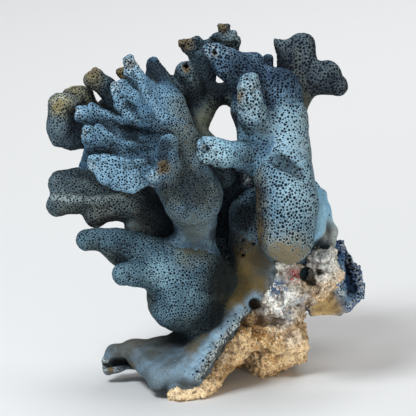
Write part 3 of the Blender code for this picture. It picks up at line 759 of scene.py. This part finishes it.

# ======================== fan
# The left branch: a dark, deeply pored bulb hangs below a ridge, and bright blue
# fingers spread to the left like an open hand, with a thin web under the lowest two.
# the finger edges below are worn pale and also carry painted highlight along their lit tops
FAN_LIT_EDGES = [                # worn edges of the fingers, each with its width
    ([(-53, 97.3, -36), (-40, 96.4, -37), (-31, 96, -37)], 1.6),
    ([(-55, 109, -30), (-44, 105.8, -31), (-30, 102.5, -32)], 1.6),
    ([(-57, 117, -23), (-46, 114.5, -24), (-38, 111.5, -26)], 1.6),
    ([(-45, 123, -28), (-42, 116, -28), (-36, 112, -28)], 1.6),
    ([(-36, 130, -22), (-31, 121, -27), (-25, 112, -29)], 2.2),
]
fan = grown("fan", [
    [(-12, 64, -10, 8), (-12.5, 74, -16, 9)],
    [(-13, 81.5, -22, 12.3), (-17, 90, -22, 11.5), (-20, 100, -20, 11), (-23, 110, -18, 9.5),
     (-24, 117, -16, 8.5)],
    [(-51, 94.6, -31, 3.0), (-44, 92.5, -30, 3.8), (-36, 91, -29, 5.5), (-28, 94, -26, 8.0),
     (-20, 98, -22, 10)],
    [(-53.5, 96.4, -34, 1.5), (-47, 96.6, -34.5, 1.5), (-40, 95.4, -35, 1.6),
     (-31, 95, -35, 2.0)],
    [(-53.5, 104.5, -26, 3.2), (-46, 102, -26, 4.2), (-38, 99.5, -25, 6), (-31, 98, -23, 8.5)],
    [(-55, 107.8, -28, 1.5), (-50, 108, -29, 1.5), (-44.5, 104.6, -29.5, 1.7),
     (-37, 102, -30, 2.0), (-29, 101, -30, 2.4)],
    [(-57, 113.6, -20, 3.0), (-51, 112, -20, 4.0), (-44, 108.2, -19, 4.8),
     (-35, 104.5, -18, 7.5), (-25, 104, -18, 9)],
    [(-57.5, 115.5, -21, 1.6), (-53, 117, -22, 1.5), (-46, 113.3, -23, 1.6),
     (-39, 110, -25, 1.8), (-31, 108, -26, 2.4)],
    [(-43.4, 124.2, -26, 2.3), (-41.5, 117.5, -26, 2.0), (-36.5, 112.5, -26, 2.4),
     (-26, 108, -21, 7.5)],
    [(-40.6, 125.6, -28, 2.2), (-36, 121, -29, 2.2), (-31, 114.5, -29, 2.8),
     (-25, 107, -24, 6)],
    [(-37.9, 135.4, -18, 2.1), (-37, 131, -18, 3.3), (-34, 125, -18, 4.8), (-27, 117, -17, 8)],
    [(-35.5, 129, -21, 1.6), (-32.5, 122, -24, 2.2), (-28, 115, -26, 3.0), (-22, 108, -26, 4)],
    [(-28.5, 134.2, -8, 3.0), (-27, 130, -8, 3.8), (-23, 122, -10, 5.5)],
    [(-22.2, 102.2, -38.5, 3.9), (-23.4, 97, -39, 4.2), (-20, 90, -33, 4)],
    [(-28.5, 89.6, -37, 3.0), (-25, 90.5, -35, 4.0)],
], webs=[
    [(-53, 103, -21, 2.6), (-57, 93.5, -17, 1.4), (-42, 95, -22, 4)],
    [(-52, 94.5, -32, 2.4), (-48, 89, -31, 2.2), (-30, 92, -30, 4.5)],
    [(-48, 89, -31, 2.2), (-42.5, 86.3, -31, 2.2), (-30, 92, -30, 4.5)],
    [(-42.5, 86.3, -31, 2.2), (-36.2, 84.8, -31, 2.2), (-30, 92, -30, 4.5)],
    [(-54, 106, -26, 2.2), (-53.5, 101, -25, 2.0), (-36, 100, -26, 4.0)],
    [(-42.5, 122, -24, 1.8), (-38, 113, -23, 1.8), (-31, 114, -24, 2.6)],
], grooves=[
    [(-50, 108.8, -26, 1.2), (-42, 106, -28, 1.8), (-30, 103.5, -32, 1.6)],
    [(-46, 98.8, -33, 1.0), (-38, 98, -34.5, 1.4), (-28, 98.5, -35, 1.4)],
    [(-39, 107.5, -25.5, 1.4), (-32, 105, -29, 1.8), (-25, 104.5, -32, 1.4)],
    [(-28, 106, -33, 1.6), (-29.3, 100, -34, 1.6), (-29.3, 96, -35.5, 1.0)],
    [(-23.8, 92.5, -43, 1.3), (-24, 93, -40.6, 0.9)],
], soft=2.2, relief=granular((-54, 93, -34, 5, 0.7), (-56, 106, -28, 6, 0.7),
                             (-58, 114, -20, 6, 0.7), (-43, 124, -28, 6, 0.7),
                             (-38, 134, -18, 7, 0.9), (-28, 90, -38, 5, 0.5)), onto=["lower_lobe"],
    bare=[(-12, 65, -16, 9, 0.95), (-12, 71, -26, 6, 0.6)],
    tip_and_highlight=[(-50, 93, -35, 8, 0.9), (-38, 87, -35, 9, 0.7), (-55, 108, -30, 5, 0.6),
         (-41, 121, -30, 7, 0.35), (-56, 116, -22, 5, 0.5), (-36, 130, -22, 6, 0.8),
         (-29, 89, -39, 4, 1.0), (-46, 104, -30, 6, 0.4)]
    + [spot for crease, width in FAN_LIT_EDGES for spot in along(crease, width, 0.6)]
    # painted highlight along the outline of the front knob
    + along([(-28.4, 97, -38), (-28.2, 101, -38), (-26.4, 104.6, -39), (-23, 106.4, -39),
             (-19.4, 105, -38), (-18.2, 100, -37)], 1.5, 0.9),
    warm=[(-12, 70, -28, 13, 0.7), (-9, 82, -30, 10, 0.9), (-13, 104, -28, 12, 0.95),
          (-16, 92, -32, 9, 0.8), (-16, 115, -20, 9, 0.8), (-14, 96, -14, 12, 0.8),
          (-21, 82, -30, 9, 0.9), (-19, 74, -24, 8, 0.8)],
    stain_and_shade=[(-15, 101, -30, 8, 0.3), (-13, 85, -34, 11, 0.8), (-19, 68, -14, 4, 0.8),
           (-4, 66, -14, 4, 0.8), (-31, 101, -31, 8, 0.35), (-27, 105, -29, 7, 0.4),
           (-46, 101, -30, 5, 0.5), (-44, 109, -27, 4, 0.5), (-37, 107, -28, 5, 0.8),
           (-27, 131, -10, 7, 0.9), (-50, 110, -23, 5, 0.4), (-24.2, 101, -42, 3.9, 0.85),
           (-24.8, 97, -42, 3.7, 0.85), (-55, 97, -20, 6, 0.4), (-20, 84, -34, 6, 0.4)],
    tan=[(-24.3, 92.3, -42, 3.6, 1.0), (-38, 134, -20, 2.5, 0.5)],
    white=[(-54, 93, -35, 3.5, 0.8), (-44.5, 125, -28, 4, 0.7), (-38, 134, -20, 5, 0.7),
           (-57, 107, -28, 3, 0.7), (-59, 115, -21, 3, 0.6), (-29, 89, -39, 3, 0.4)],
    spacing=0.86, seed=4, surface=coral_material(
        "fan", (0.05, 0.122, 0.212), (0.26, 0.46, 0.625), (0.118, 0.127, 0.09),
        (0.017, 0.022, 0.026), pore_radius=0.35))
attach(fan, "root")
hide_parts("fan")

# ======================== side branch
# A flat branch below the fan, grey-blue above and brownish beneath, with two rounded
# ridges at its end.  It leaves the lower lobe behind the fan's bulb.
SIDE_EDGE = [(-68, 80.8, -12.5, 1.2), (-58, 80.2, -13.5, 1.6), (-49, 80, -13, 1.6),
             (-41, 81.5, -11, 2.0)]
side = grown("side_branch", [
    [(-65.3, 87, -6, 5.2), (-59, 86.5, -6, 6), (-49, 85, -5, 6.2), (-38, 80, -2, 8),
     (-26, 74, 2, 9), (-16, 64, 4, 9)],
    [(-67, 77.2, -10, 3.8), (-60, 78.8, -9, 3.6), (-52, 79, -7, 4.5), (-42, 79, -4, 6.5)],
    [(-51.3, 73.6, -9, 4.7), (-45, 77, -7, 4.8), (-36, 78.5, -3, 7.4)],
    [(-38, 69, -6, 2.4), (-33, 69, -3, 4), (-26, 70, 0, 7)],
    SIDE_EDGE,
], webs=[
    [(-66.5, 86, -7, 2.5), (-67.3, 78, -10, 2.5), (-56, 82, -7, 4)],
], onto=["lower_lobe"],
    bare=[(-37, 68, -6, 5, 1.0)],
    tip_and_highlight=along([(x, up + 0.5, back - 1) for x, up, back, size in SIDE_EDGE], 2.3, 1.0)
    + [(-38, 69, -7, 4, 0.6)],
    warm=[(-50, 72, -10, 9, 0.6), (-30, 74, -6, 9, 0.6), (-62, 75, -12, 7, 0.4)],
    stain_and_shade=[(-24, 74, -6, 13, 0.9), (-62, 88, -12, 6, 0.3)],
    spacing=0.88, seed=5, surface=coral_material(
        "side branch", (0.046, 0.082, 0.108), (0.235, 0.3, 0.305), (0.092, 0.08, 0.055),
        (0.016, 0.023, 0.027), pore_radius=0.36))
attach(side, "root")
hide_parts("side_branch")

# ======================== crown branch
# The branch behind the fan, dull blue-grey to olive: it climbs to a cluster of knobs
# with worn ochre tops, and bends an arm over to the trunk to close a small window.
crown = grown("crown_branch", [
    [(-14, 96, -8, 7), (-12.8, 106, -4, 5.8), (-11.5, 116, 0, 5.8), (-10, 126, 4, 6),
     (-8, 136, 7, 6)],
    [(-15.5, 131.3, -10, 4.5), (-14.5, 126, -5, 5), (-12, 119, 0, 5.5)],
    [(-16.2, 142, 6, 2.7), (-12, 140.6, 7, 3.9), (-8, 137, 7, 5.4)],
    [(-0.9, 147.9, 7, 2.5), (0, 144, 7, 4.1), (-4, 139, 7, 4.8)],
    [(4, 144, 7, 2.1), (0, 142, 7, 3.2)],
    [(-2.2, 149.6, 5, 1.5), (0, 144, 6, 2)],
    [(1.2, 149.3, 8, 1.3), (0, 144, 7, 2)],
    [(3.6, 147.2, 5, 1.5), (0, 143, 6, 2)],
    [(5, 143.6, 4, 1.4), (0, 142, 6, 2)],
    [(1.5, 144.5, 1.5, 1.8), (0, 143, 6, 2)],
    [(-3, 145, 2, 1.8), (-2, 142, 6, 2)],
    [(4.2, 140.8, 4, 1.6), (0, 140, 7, 3)],
    [(-17.6, 143.2, 4, 1.5), (-14, 141, 6, 2)],
    [(-11, 143.5, 3, 1.5), (-12, 140, 6, 3)],
    [(-6.5, 142.5, 2, 1.6), (-8, 138, 6, 4)],
    [(-12.8, 108.5, -2, 5.0), (-9.2, 116.3, 0, 4.8), (-4.2, 121.8, 2, 4.6), (2, 123, 3, 4.6),
     (7, 119, 2, 5)],
    [(-9.5, 104.5, -7, 4.2), (-4, 99, -6, 4.6), (0, 90, -2, 5)],
], soft=2.0, relief=granular((0, 145, 4, 9, 0.6), (-14, 142, 4, 7, 0.6), (-15, 131, -12, 5, 0.5)),
    onto=["fan", "right_trunk"], pits=[
    [(-15.5, 134, -16, 1.2), (-15.5, 132.5, -8, 0.8)],
],
    bare=[(-7, 104, -10, 8, 0.9), (-10, 112, -6, 6, 0.8)],
    tip_and_highlight=[(2, 144, 2, 6, 0.55), (-12, 128, -12, 4, 0.4), (-3, 101, -12, 6, 1.0),
         (-16, 133, -14, 5, 0.4)],
    warm=[(-8, 106, -8, 10, 0.7), (-2, 117, -4, 7, 0.9), (-8, 112, -4, 6, 0.8)],
    stain_and_shade=[(-12, 122, -2, 8, 0.8), (-3, 123.5, -2, 6, 0.9), (-8, 134, 0, 6, 0.4)],
    tan=[(-1.5, 149, 6, 3.2, 0.9), (-16, 143, 4, 4.5, 0.7), (-15.5, 132.5, -14, 2.0, 0.9),
         (-6, 144, 6, 3, 0.4)],
    white=[(3, 145, 2, 5, 0.25), (-3, 101, -12, 5, 0.6)],
    spacing=0.9, seed=6, surface=coral_material(
        "crown branch", (0.034, 0.061, 0.086), (0.175, 0.26, 0.31), (0.21, 0.235, 0.17),
        (0.013, 0.018, 0.024), pore_radius=0.39))
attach(crown, "root")
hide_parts("crown_branch")

# ======================== back frond
# The leafy branch at the far left, a broad thumb and three short fingers, grey-olive
# below and worn to tan and ochre along its tops.
frond = grown("back_frond", [
    [(-65, 117, -10, 5.8), (-65, 109, -10, 5.8), (-58, 105.5, -8, 4.9), (-46, 104, -5, 6),
     (-32, 102, -4, 8)],
    [(-59.3, 119.6, 2, 5.8), (-57, 113, 2, 6), (-46, 108, 0, 7), (-32, 104, -2, 8)],
    [(-51.8, 131.8, -6, 1.3), (-51.9, 128, -6, 3.6), (-48, 125.2, -6, 3.7),
     (-43, 119.5, -5, 4.8), (-36, 112, -5, 6)],
    [(-42, 131, -8, 1.3), (-39.2, 130, -8, 2.3), (-33, 124, -9, 4)],
    [(-47.5, 116.5, 6, 4.3), (-42, 110, 4, 6)],
    [(-67, 103.6, -9, 2.4), (-62, 104, -8, 4.6)],
    [(-66.5, 118.5, -11, 3.6), (-60.5, 117.5, -11, 3.2), (-56, 112, -8, 4)],
    [(-61.5, 121.5, 0, 3.8), (-56, 121.3, 0, 3.2), (-54, 117, 1, 3.6), (-52, 112, 2, 5)],
    [(-54, 128.2, -6, 2.0), (-51, 129.3, -7, 2.2), (-48, 126, -7, 3)],
], soft=2.0, relief=granular((-61, 122, -2, 8, 0.35), (-52, 130, -6, 5, 0.5)), onto=["fan"],
    tip_and_highlight=[(-66, 107, -15, 7, 0.3), (-45, 118, 0, 4, 0.3)],
    warm=[(-65, 118, -14, 6.5, 1.0), (-52, 127, -8, 5, 0.8), (-58, 121, -2, 9, 1.0)],
    stain_and_shade=[(-45, 112, -6, 10, 0.7), (-57, 108, -10, 6, 0.5), (-70, 114, -8, 3, 0.3),
           (-46, 121, -8, 5, 0.6)],
    tan=[(-67, 118, -15, 3.6, 0.5), (-61, 125, 0, 4, 0.4), (-53, 131, -7, 4.5, 0.7),
         (-41, 130, -9, 4, 0.9)],
    white=along([(-69, 118.5, -14), (-66, 121.6, -14), (-60, 117.5, -14)], 1.1, 0.45),
    spacing=0.88, seed=7, surface=coral_material(
        "back frond", (0.048, 0.085, 0.132), (0.175, 0.24, 0.255), (0.31, 0.295, 0.175),
        (0.018, 0.025, 0.033), pore_radius=0.34))
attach(frond, "root")
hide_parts("back_frond")

# ======================== crest
# The dark blue arm that leans left from the trunk's top and ends in a broken, pale tip.
# It is the same porous limestone, grown out of the trunk with a wide fillet.
crest = grown("crest", [
    [(-7.3, 140, -16, 1.7), (-4, 138.5, -15, 3.2), (1.5, 134, -12, 5.8), (8, 129.8, -9, 7.3),
     (17, 124, -7, 8)],
    [(12, 135.6, -7, 3.8), (12, 128, -7, 5.5)],
    [(17.1, 136, 0, 2.6), (16.8, 130, -1, 3.4)],
    [(22, 124, -6, 7.5), (17, 124, -7, 8)],
], onto=["right_trunk"], pits=[
    [(-4.5, 139.5, -20, 0.7), (-3.5, 137, -15, 1.0)],
],
    tip_and_highlight=[(-5, 139, -16, 5, 0.9), (2, 138, -15, 6, 0.2), (26, 120, -14, 8, 0.3)],
    warm=[(4, 128, -10, 6, 0.6)],
    stain_and_shade=[(7, 132, -15, 9, 0.45), (17, 134, -2, 5, 0.6), (25, 130, -13, 7, 0.5)],
    tan=[(-4, 138, -18, 1.6, 0.7)],
    white=[(-6, 139.5, -17, 4, 0.5), (1, 139.5, -15, 3, 0.2)],
    spacing=0.98, seed=8, surface=coral_material(
        "crest", (0.028, 0.053, 0.11), (0.17, 0.3, 0.42), (0.07, 0.07, 0.052),
        (0.009, 0.015, 0.029), pore_radius=0.5))
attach(crest, "root")
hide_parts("crest")

# ======================== right horn
# The fork at the trunk's top right: an upright horn with a small spur, and an arm that
# forks again, slate blue with black pores and a paler, bare root.
horn = grown("right_horn", [
    [(26.3, 110, 0, 5.6), (27.4, 118, 3, 5.2), (29.5, 125.3, 4, 6.3), (31, 133, 3, 5.8),
     (31.2, 142.2, 3, 5.1)],
    [(26, 128, 4, 5), (25.6, 136, 3, 4.4), (22.7, 141.4, 2, 2.2), (20.1, 144, 1.5, 0.8)],
    [(27.8, 142, 3, 3.2), (29, 134, 3, 4)],
    [(31, 128.3, 4, 6), (39.5, 128.8, 1, 5.9), (44.9, 125.8, -1, 4.3)],
    [(39.5, 130, 1, 4.5), (41.7, 131.9, 0, 3.9)],
], onto=["right_trunk"],
    bare=[(30, 116, 0, 7, 1.0)],
    tip_and_highlight=[(35, 139, -2, 5, 0.4), (44, 133, -3, 3, 0.4), (48, 126, -4, 3, 0.4),
         (22, 143, 1, 3, 0.5)],
    # the warm line along the horn's ridge is a painted highlight
    warm=[(31, 117, 0, 8, 1.0)] + along([(29, 140, -3), (28.5, 132, -3), (32, 126, -3)], 2.4, 0.6),
    stain_and_shade=[(23, 135, -1, 6, 0.6), (42, 126, -4, 7, 0.5), (35, 131, -3, 4, 0.35)],
    spacing=1.02, seed=9, surface=coral_material(
        "right horn", (0.038, 0.053, 0.067), (0.15, 0.205, 0.235), (0.118, 0.124, 0.098),
        (0.012, 0.016, 0.019), pore_radius=0.5))
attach(horn, "root")
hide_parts("right_horn")

# ======================== cross arm
# The bright stub that reaches left from the trunk's waist and is broken off blunt, so
# that white grains of fresh limestone show at its end.
arm = grown("cross_arm", [
    [(-6.5, 99.3, -27, 4.6), (-1, 97.9, -24, 5.1), (6, 98.1, -19, 5.0), (14, 98, -13, 7)],
    [(-9.5, 97.2, -28, 2.4), (-6, 98, -26, 3.2)],
    [(-8.5, 102.6, -26, 1.8), (-4, 101, -25, 3)],
], relief=granular((-8, 99, -29, 8, 0.7)), onto=["right_trunk"], pits=[
    [(-9, 101, -34, 2.0), (-8, 100, -31, 1.6)],
],
    tip_and_highlight=[(-4, 99, -28, 9, 0.8)],
    stain_and_shade=[(-7.5, 100.5, -31, 2.4, 0.6), (10, 98, -22, 6, 0.6), (14, 100, -16, 8, 0.6)],
    white=[(-7, 98, -30, 7, 0.35)],
    spacing=1.0, seed=10, surface=coral_material(
        "cross arm", (0.13, 0.28, 0.43), (0.34, 0.575, 0.715), (0.205, 0.215, 0.18),
        (0.024, 0.04, 0.066), pore_radius=0.37))
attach(arm, "root")
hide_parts("cross_arm")

# ======================== rear wall
# The smooth pale plate that runs down behind the trunk's right side to the rock, a thin
# sheet of the same limestone with few pores, grown onto the back of the trunk.
wall = grown("rear_wall", [
    [(35.3, 83, 2, 3.3), (36.3, 76, 0, 4.6), (35.5, 69, -2, 5)],
    [(38.7, 82, 6, 2.3), (39.5, 75.3, 6, 2.4), (42.4, 67.5, 6, 2.6), (42, 60, 5, 3)],
    [(33, 86, 2, 3.6), (30, 80, 4, 8), (32, 66, 6, 8)],
], onto=["right_trunk"],
    bare=[(38, 74, 0, 12, 0.9), (42, 66, 2, 8, 0.8)],
    tip_and_highlight=[(37, 74, -4, 8, 0.5)],
    warm=[(43, 66, 2, 7, 0.6)],
    stain_and_shade=[(36, 64, 2, 4, 0.7)],
    spacing=1.7, seed=11, surface=coral_material(
        "rear wall", (0.23, 0.48, 0.7), (0.38, 0.69, 0.9), (0.55, 0.49, 0.36),
        (0.03, 0.045, 0.06)))
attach(wall, "root")
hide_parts("rear_wall")

# ======================== broken plate
# A hollowed shell of navy skeleton low on the right, where a plate broke away: ribbed
# inside, pale along its rim, with a tan scoop of reef below.
top_rim, right_rim, low_rim = (46, 62, 8, 1.6), (53, 50, 10, 1.8), (54, 42, 8, 2.1)
left_rim, root_rim = (45, 52, 3, 1.8), (45.5, 43, 2, 2)
top_floor, mid_floor, low_floor = (46, 60, 9, 1.6), (51.5, 50, 14, 1.6), (53, 43, 12, 1.6)
left_floor, root_floor, scoop = (45, 50, 8, 1.8), (48, 40, 6, 1.8), (45, 44, 4, 1.4)
plate = grown("broken_plate", [
    [top_rim, (49.5, 56.6, 10, 1.6), right_rim, low_rim, (49, 37.9, 4, 2.3), root_rim, left_rim,
     top_rim],
], webs=[
    [top_floor, mid_floor, left_floor], [mid_floor, low_floor, left_floor],
    [left_floor, low_floor, root_floor], [top_floor, right_rim, mid_floor],
    [right_rim, low_rim, mid_floor], [low_rim, low_floor, mid_floor],
    [root_floor, low_floor, low_rim], [top_rim, left_rim, left_floor],
    [left_rim, root_rim, left_floor], [root_rim, root_floor, left_floor],
    [scoop, (46, 35, 0, 1.4), (35, 35, 4, 1.2)], [scoop, (35, 34.6, 4, 1.2), (35, 42, 6, 2)],
], soft=1.2, relief=granular((49, 50, 10, 18, 1.1)), onto=["rear_wall", "reef_rock"],
    joint=2.0,
    bare=[(42, 38, 2, 10, 1.0)],
    tip_and_highlight=[(46, 50, 4, 4, 0.5), (48, 41, 2, 5, 0.6)],
    warm=[(40, 38, 2, 9, 1.0)],
    stain_and_shade=[(50, 50, 13, 6, 0.7)],
    white=along([(47, 61, 7), (53, 51, 8), (56, 43, 6), (50, 37, 1)], 2.4, 0.7)
    + along([(45.5, 52, 2), (46, 43, 0)], 2.4, 0.8),
    spacing=1.6, seed=12, surface=coral_material(
        "broken plate", (0.016, 0.066, 0.235), (0.18, 0.32, 0.46), (0.64, 0.46, 0.22),
        (0.008, 0.026, 0.095)))
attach(plate, "root")
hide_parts("broken_plate")

# ======================== rear branch
# The branch at the back, which fills the middle of the colony and forks into blunt
# fingers.  A cream ledge of broken skeleton on it shows between the bulbs.
back = grown("rear_branch", [
    [(6, 34, 22, 12), (4, 56, 26, 13), (2, 72, 30, 13.5), (-2, 84, 34, 10.5), (-6, 93, 36, 8)],
    [(3, 74, 22, 11), (5, 84, 14, 7)],
    [(5.5, 87.5, 6, 4.0), (9.5, 88, 5, 4.4), (6, 80, 12, 7)],
    [(-2, 84, 34, 10), (-14, 94, 42, 6.5), (-21, 99, 46, 5.0)],
    [(-6, 93, 36, 8), (-13, 101, 38, 5.5), (-16, 106, 40, 4.5)],
    [(0, 84, 34, 9), (12, 94, 38, 7), (17, 104, 42, 5.5), (16.5, 111, 44, 4.6)],
    [(0, 78, 34, 10), (6, 84, 46, 5.5), (7, 88, 50, 4.5)],
    [(2, 66, 34, 10), (0, 62, 46, 5.5), (-1, 60, 49, 4.6)],
], onto=["reef_rock"],
    tip_and_highlight=[(-19, 98, 48, 8, 0.6), (16, 106, 45, 8, 0.6), (6, 86, 51, 6, 0.5)],
    warm=[(4, 50, 30, 14, 0.5), (10, 88, 2, 3.5, 0.5)],
    stain_and_shade=[(0, 76, 14, 14, 0.8), (0, 60, 14, 16, 0.8)],
    white=[(9.5, 89, 1.5, 3.4, 0.8)],
    # its colours are darker than the rear lobes' as painted shade, for it stands behind the other
    # branches
    spacing=1.35, seed=13, surface=coral_material(
        "rear branch", (0.04, 0.07, 0.11), (0.14, 0.21, 0.27), (0.16, 0.14, 0.1),
        (0.007, 0.01, 0.016)))
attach(back, "root")
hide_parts("rear_branch")

# ======================== rear lobes
# The two lower forks at the back, one to each side, each with three short fingers.  Both
# are plain blue limestone and grow out of the rear branch.
REAR_LOBES = {
    "rear_right_lobe": ([
        [(8, 58, 26, 10), (20, 64, 34, 10), (28, 72, 38, 8), (31, 82, 42, 5.8)],
        [(28, 72, 38, 8), (34, 72, 46, 5), (36.5, 73, 49, 4.2)],
        [(20, 64, 34, 9), (27, 58, 44, 6.5), (31, 55, 49, 4.8)],
        [(20, 64, 34, 9), (22, 76, 46, 5.5), (22.5, 81, 49, 4.6)],
    ], [(36, 73, 50, 6, 0.6), (31, 55, 50, 6, 0.6), (31, 84, 43, 6, 0.5)]),
    "rear_left_lobe": ([
        [(0, 54, 26, 11), (-12, 58, 34, 10), (-22, 64, 38, 8), (-29, 72, 41, 6)],
        [(-22, 64, 38, 8), (-32, 60, 42, 5.5), (-37, 59, 44, 4.4)],
        [(-12, 58, 34, 9), (-16, 49, 44, 6.5), (-18, 45.5, 48, 5)],
        [(-22, 64, 38, 8), (-24, 70, 47, 5), (-25, 73, 50, 4.2)],
    ], [(-37, 59, 45, 6, 0.6), (-18, 45, 50, 6, 0.6), (-29, 74, 42, 6, 0.5)]),
}
rear_surface = coral_material(
    "rear lobes", (0.08, 0.15, 0.22), (0.2, 0.31, 0.4), (0.17, 0.16, 0.12), (0.02, 0.03, 0.045))
for seed, (node, (limbs, tips)) in enumerate(REAR_LOBES.items(), 14):
    piece = grown(node, limbs, rear_surface, 1.35, seed, onto=["rear_branch"], tip_and_highlight=tips,
                  warm=[(0, 56, 28, 18, 0.6)])
    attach(piece, "root")
    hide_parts(node)

# ======================== shade in the clefts
# Where branches crowd together the skin is given painted shade, darker toward blue-black.
# Every skin gets a mask of how closed in each point is, from probes held off it.
PROBES = [(4.0, 0.55), (12.0, 0.75)]      # how far off, mm, and how much each one counts
OPEN = 50.0                    # a distance at which nothing is near, mm


def room_around(points):
    """The distance from each point to the nearest piece."""
    x, y, z = (points[:, i] for i in range(3))
    nearest = np.full(len(points), OPEN, np.float32)
    for form in forms.values():
        for balls in stretches(form["limbs"], form["webs"]):
            nearest = np.minimum(nearest, to_shape(x, y, z, balls))
    return nearest


def off_stand(points):
    """Takes points of the frame, in metres, back to the upright drawing, in mm."""
    points = points / MM
    y = points[:, 1] + CUT_MIDDLE[1]
    z = points[:, 2] + CUT_DEPTH * math.sin(LEAN)
    return np.stack([points[:, 0] + CUT_MIDDLE[0], y * math.cos(LEAN) - z * math.sin(LEAN),
                     z * math.cos(LEAN) + y * math.sin(LEAN)], 1)


for piece in skins:
    count = len(piece.data.vertices)
    spots = np.empty(count * 3, np.float32)
    piece.data.vertices.foreach_get("co", spots)
    ways = np.empty(count * 3, np.float32)
    piece.data.vertex_normals.foreach_get("vector", ways)
    spots, ways = spots.reshape(-1, 3), ways.reshape(-1, 3)
    painted_shade = np.zeros(count, np.float32)
    for reach, weight in PROBES:
        away = room_around(off_stand(spots + ways * reach * MM))
        painted_shade += weight * np.clip(1 - away / reach, 0, 1)
    kept = piece.data.attributes.new("painted_shade", "FLOAT", "POINT")
    kept.data.foreach_set("value", np.clip(painted_shade, 0, 1).astype(np.float32))

# ======================== floor
# A wide sheet of pale matt paper laid flat under the coral, which stands on it by its
# sawn face alone.
FLOOR_REACH = 3.0              # from its middle to each edge, in metres
corners = [(x * FLOOR_REACH, y * FLOOR_REACH, 0)
           for x, y in ((-1, -1), (1, -1), (1, 1), (-1, 1))]
sheet_mesh = bpy.data.meshes.new("paper_floor")
sheet_mesh.from_pydata(corners, [], [(0, 1, 2, 3)])
sheet = bpy.data.objects.new("paper_floor", sheet_mesh)
bpy.context.scene.collection.objects.link(sheet)
paper = bpy.data.materials.new("floor paper")
paper.use_nodes = True
matt = paper.node_tree.nodes["Principled BSDF"]
matt.inputs["Base Color"].default_value = (0.71, 0.70, 0.69, 1)
matt.inputs["Roughness"].default_value = 0.9
sheet_mesh.materials.append(paper)

# ======================== lights and camera
# A cool soft box high on the left in front, a weak fill beside the camera, a warm low one
# on the right, a soft light from behind, and a broad one over the floor behind the coral.
# The camera stands well back and looks down as far as the branches lean.
def soft_box(name, spot, aim, width, watts, colour):
    lamp = bpy.data.lights.new(name, "AREA")
    lamp.shape = "SQUARE"
    lamp.size = width
    lamp.energy = watts
    lamp.color = colour
    box = bpy.data.objects.new(name, lamp)
    box.location = spot
    way = np.array(aim) - np.array(spot)
    box.rotation_euler = (math.atan2(math.hypot(way[0], way[1]), -way[2]), 0,
                          math.atan2(-way[0], way[1]))
    bpy.context.scene.collection.objects.link(box)


AIM = (0.0, 0.0, 0.07)
soft_box("key", (-0.43, -0.36, 0.84), AIM, 0.28, 7.6, (0.88, 0.95, 1.0))
soft_box("front fill", (-0.10, -1.20, 0.25), AIM, 0.50, 2.2, (0.95, 0.98, 1.0))
soft_box("warm fill", (0.50, -0.85, 0.05), AIM, 0.40, 5.6, (1.0, 0.86, 0.70))
soft_box("back light", (0.25, 0.75, 0.65), AIM, 0.40, 3.0, (0.92, 0.96, 1.0))
soft_box("floor light", (0.0, 0.45, 1.6), (0.0, 1.3, 0.2), 1.0, 13.5, (1.0, 1.0, 1.0))
world = bpy.data.worlds.new("studio air")
world.use_nodes = True
world.node_tree.nodes["Background"].inputs["Color"].default_value = (0.93, 0.96, 1.0, 1)
world.node_tree.nodes["Background"].inputs["Strength"].default_value = 0.10
bpy.context.scene.world = world
bpy.context.scene.view_settings.view_transform = "Standard"

PICTURE_WIDTH = 166.4          # how much the picture takes in, mm
PICTURE_MIDDLE = (-6.8, 76.8)  # its middle, across and up in the upright drawing
STAND_OFF = 2500.0             # how far the camera stands back, mm
lens = bpy.data.cameras.new("camera")
lens.sensor_width = 36.0
lens.lens = lens.sensor_width * STAND_OFF / PICTURE_WIDTH
lens.clip_end = 20
camera = bpy.data.objects.new("camera", lens)
camera.location = on_stand(np.array([[PICTURE_MIDDLE[0], -STAND_OFF, PICTURE_MIDDLE[1]]]))[0]
camera.rotation_euler = (math.pi / 2 - LEAN, 0, 0)
bpy.context.scene.collection.objects.link(camera)
bpy.context.scene.camera = camera
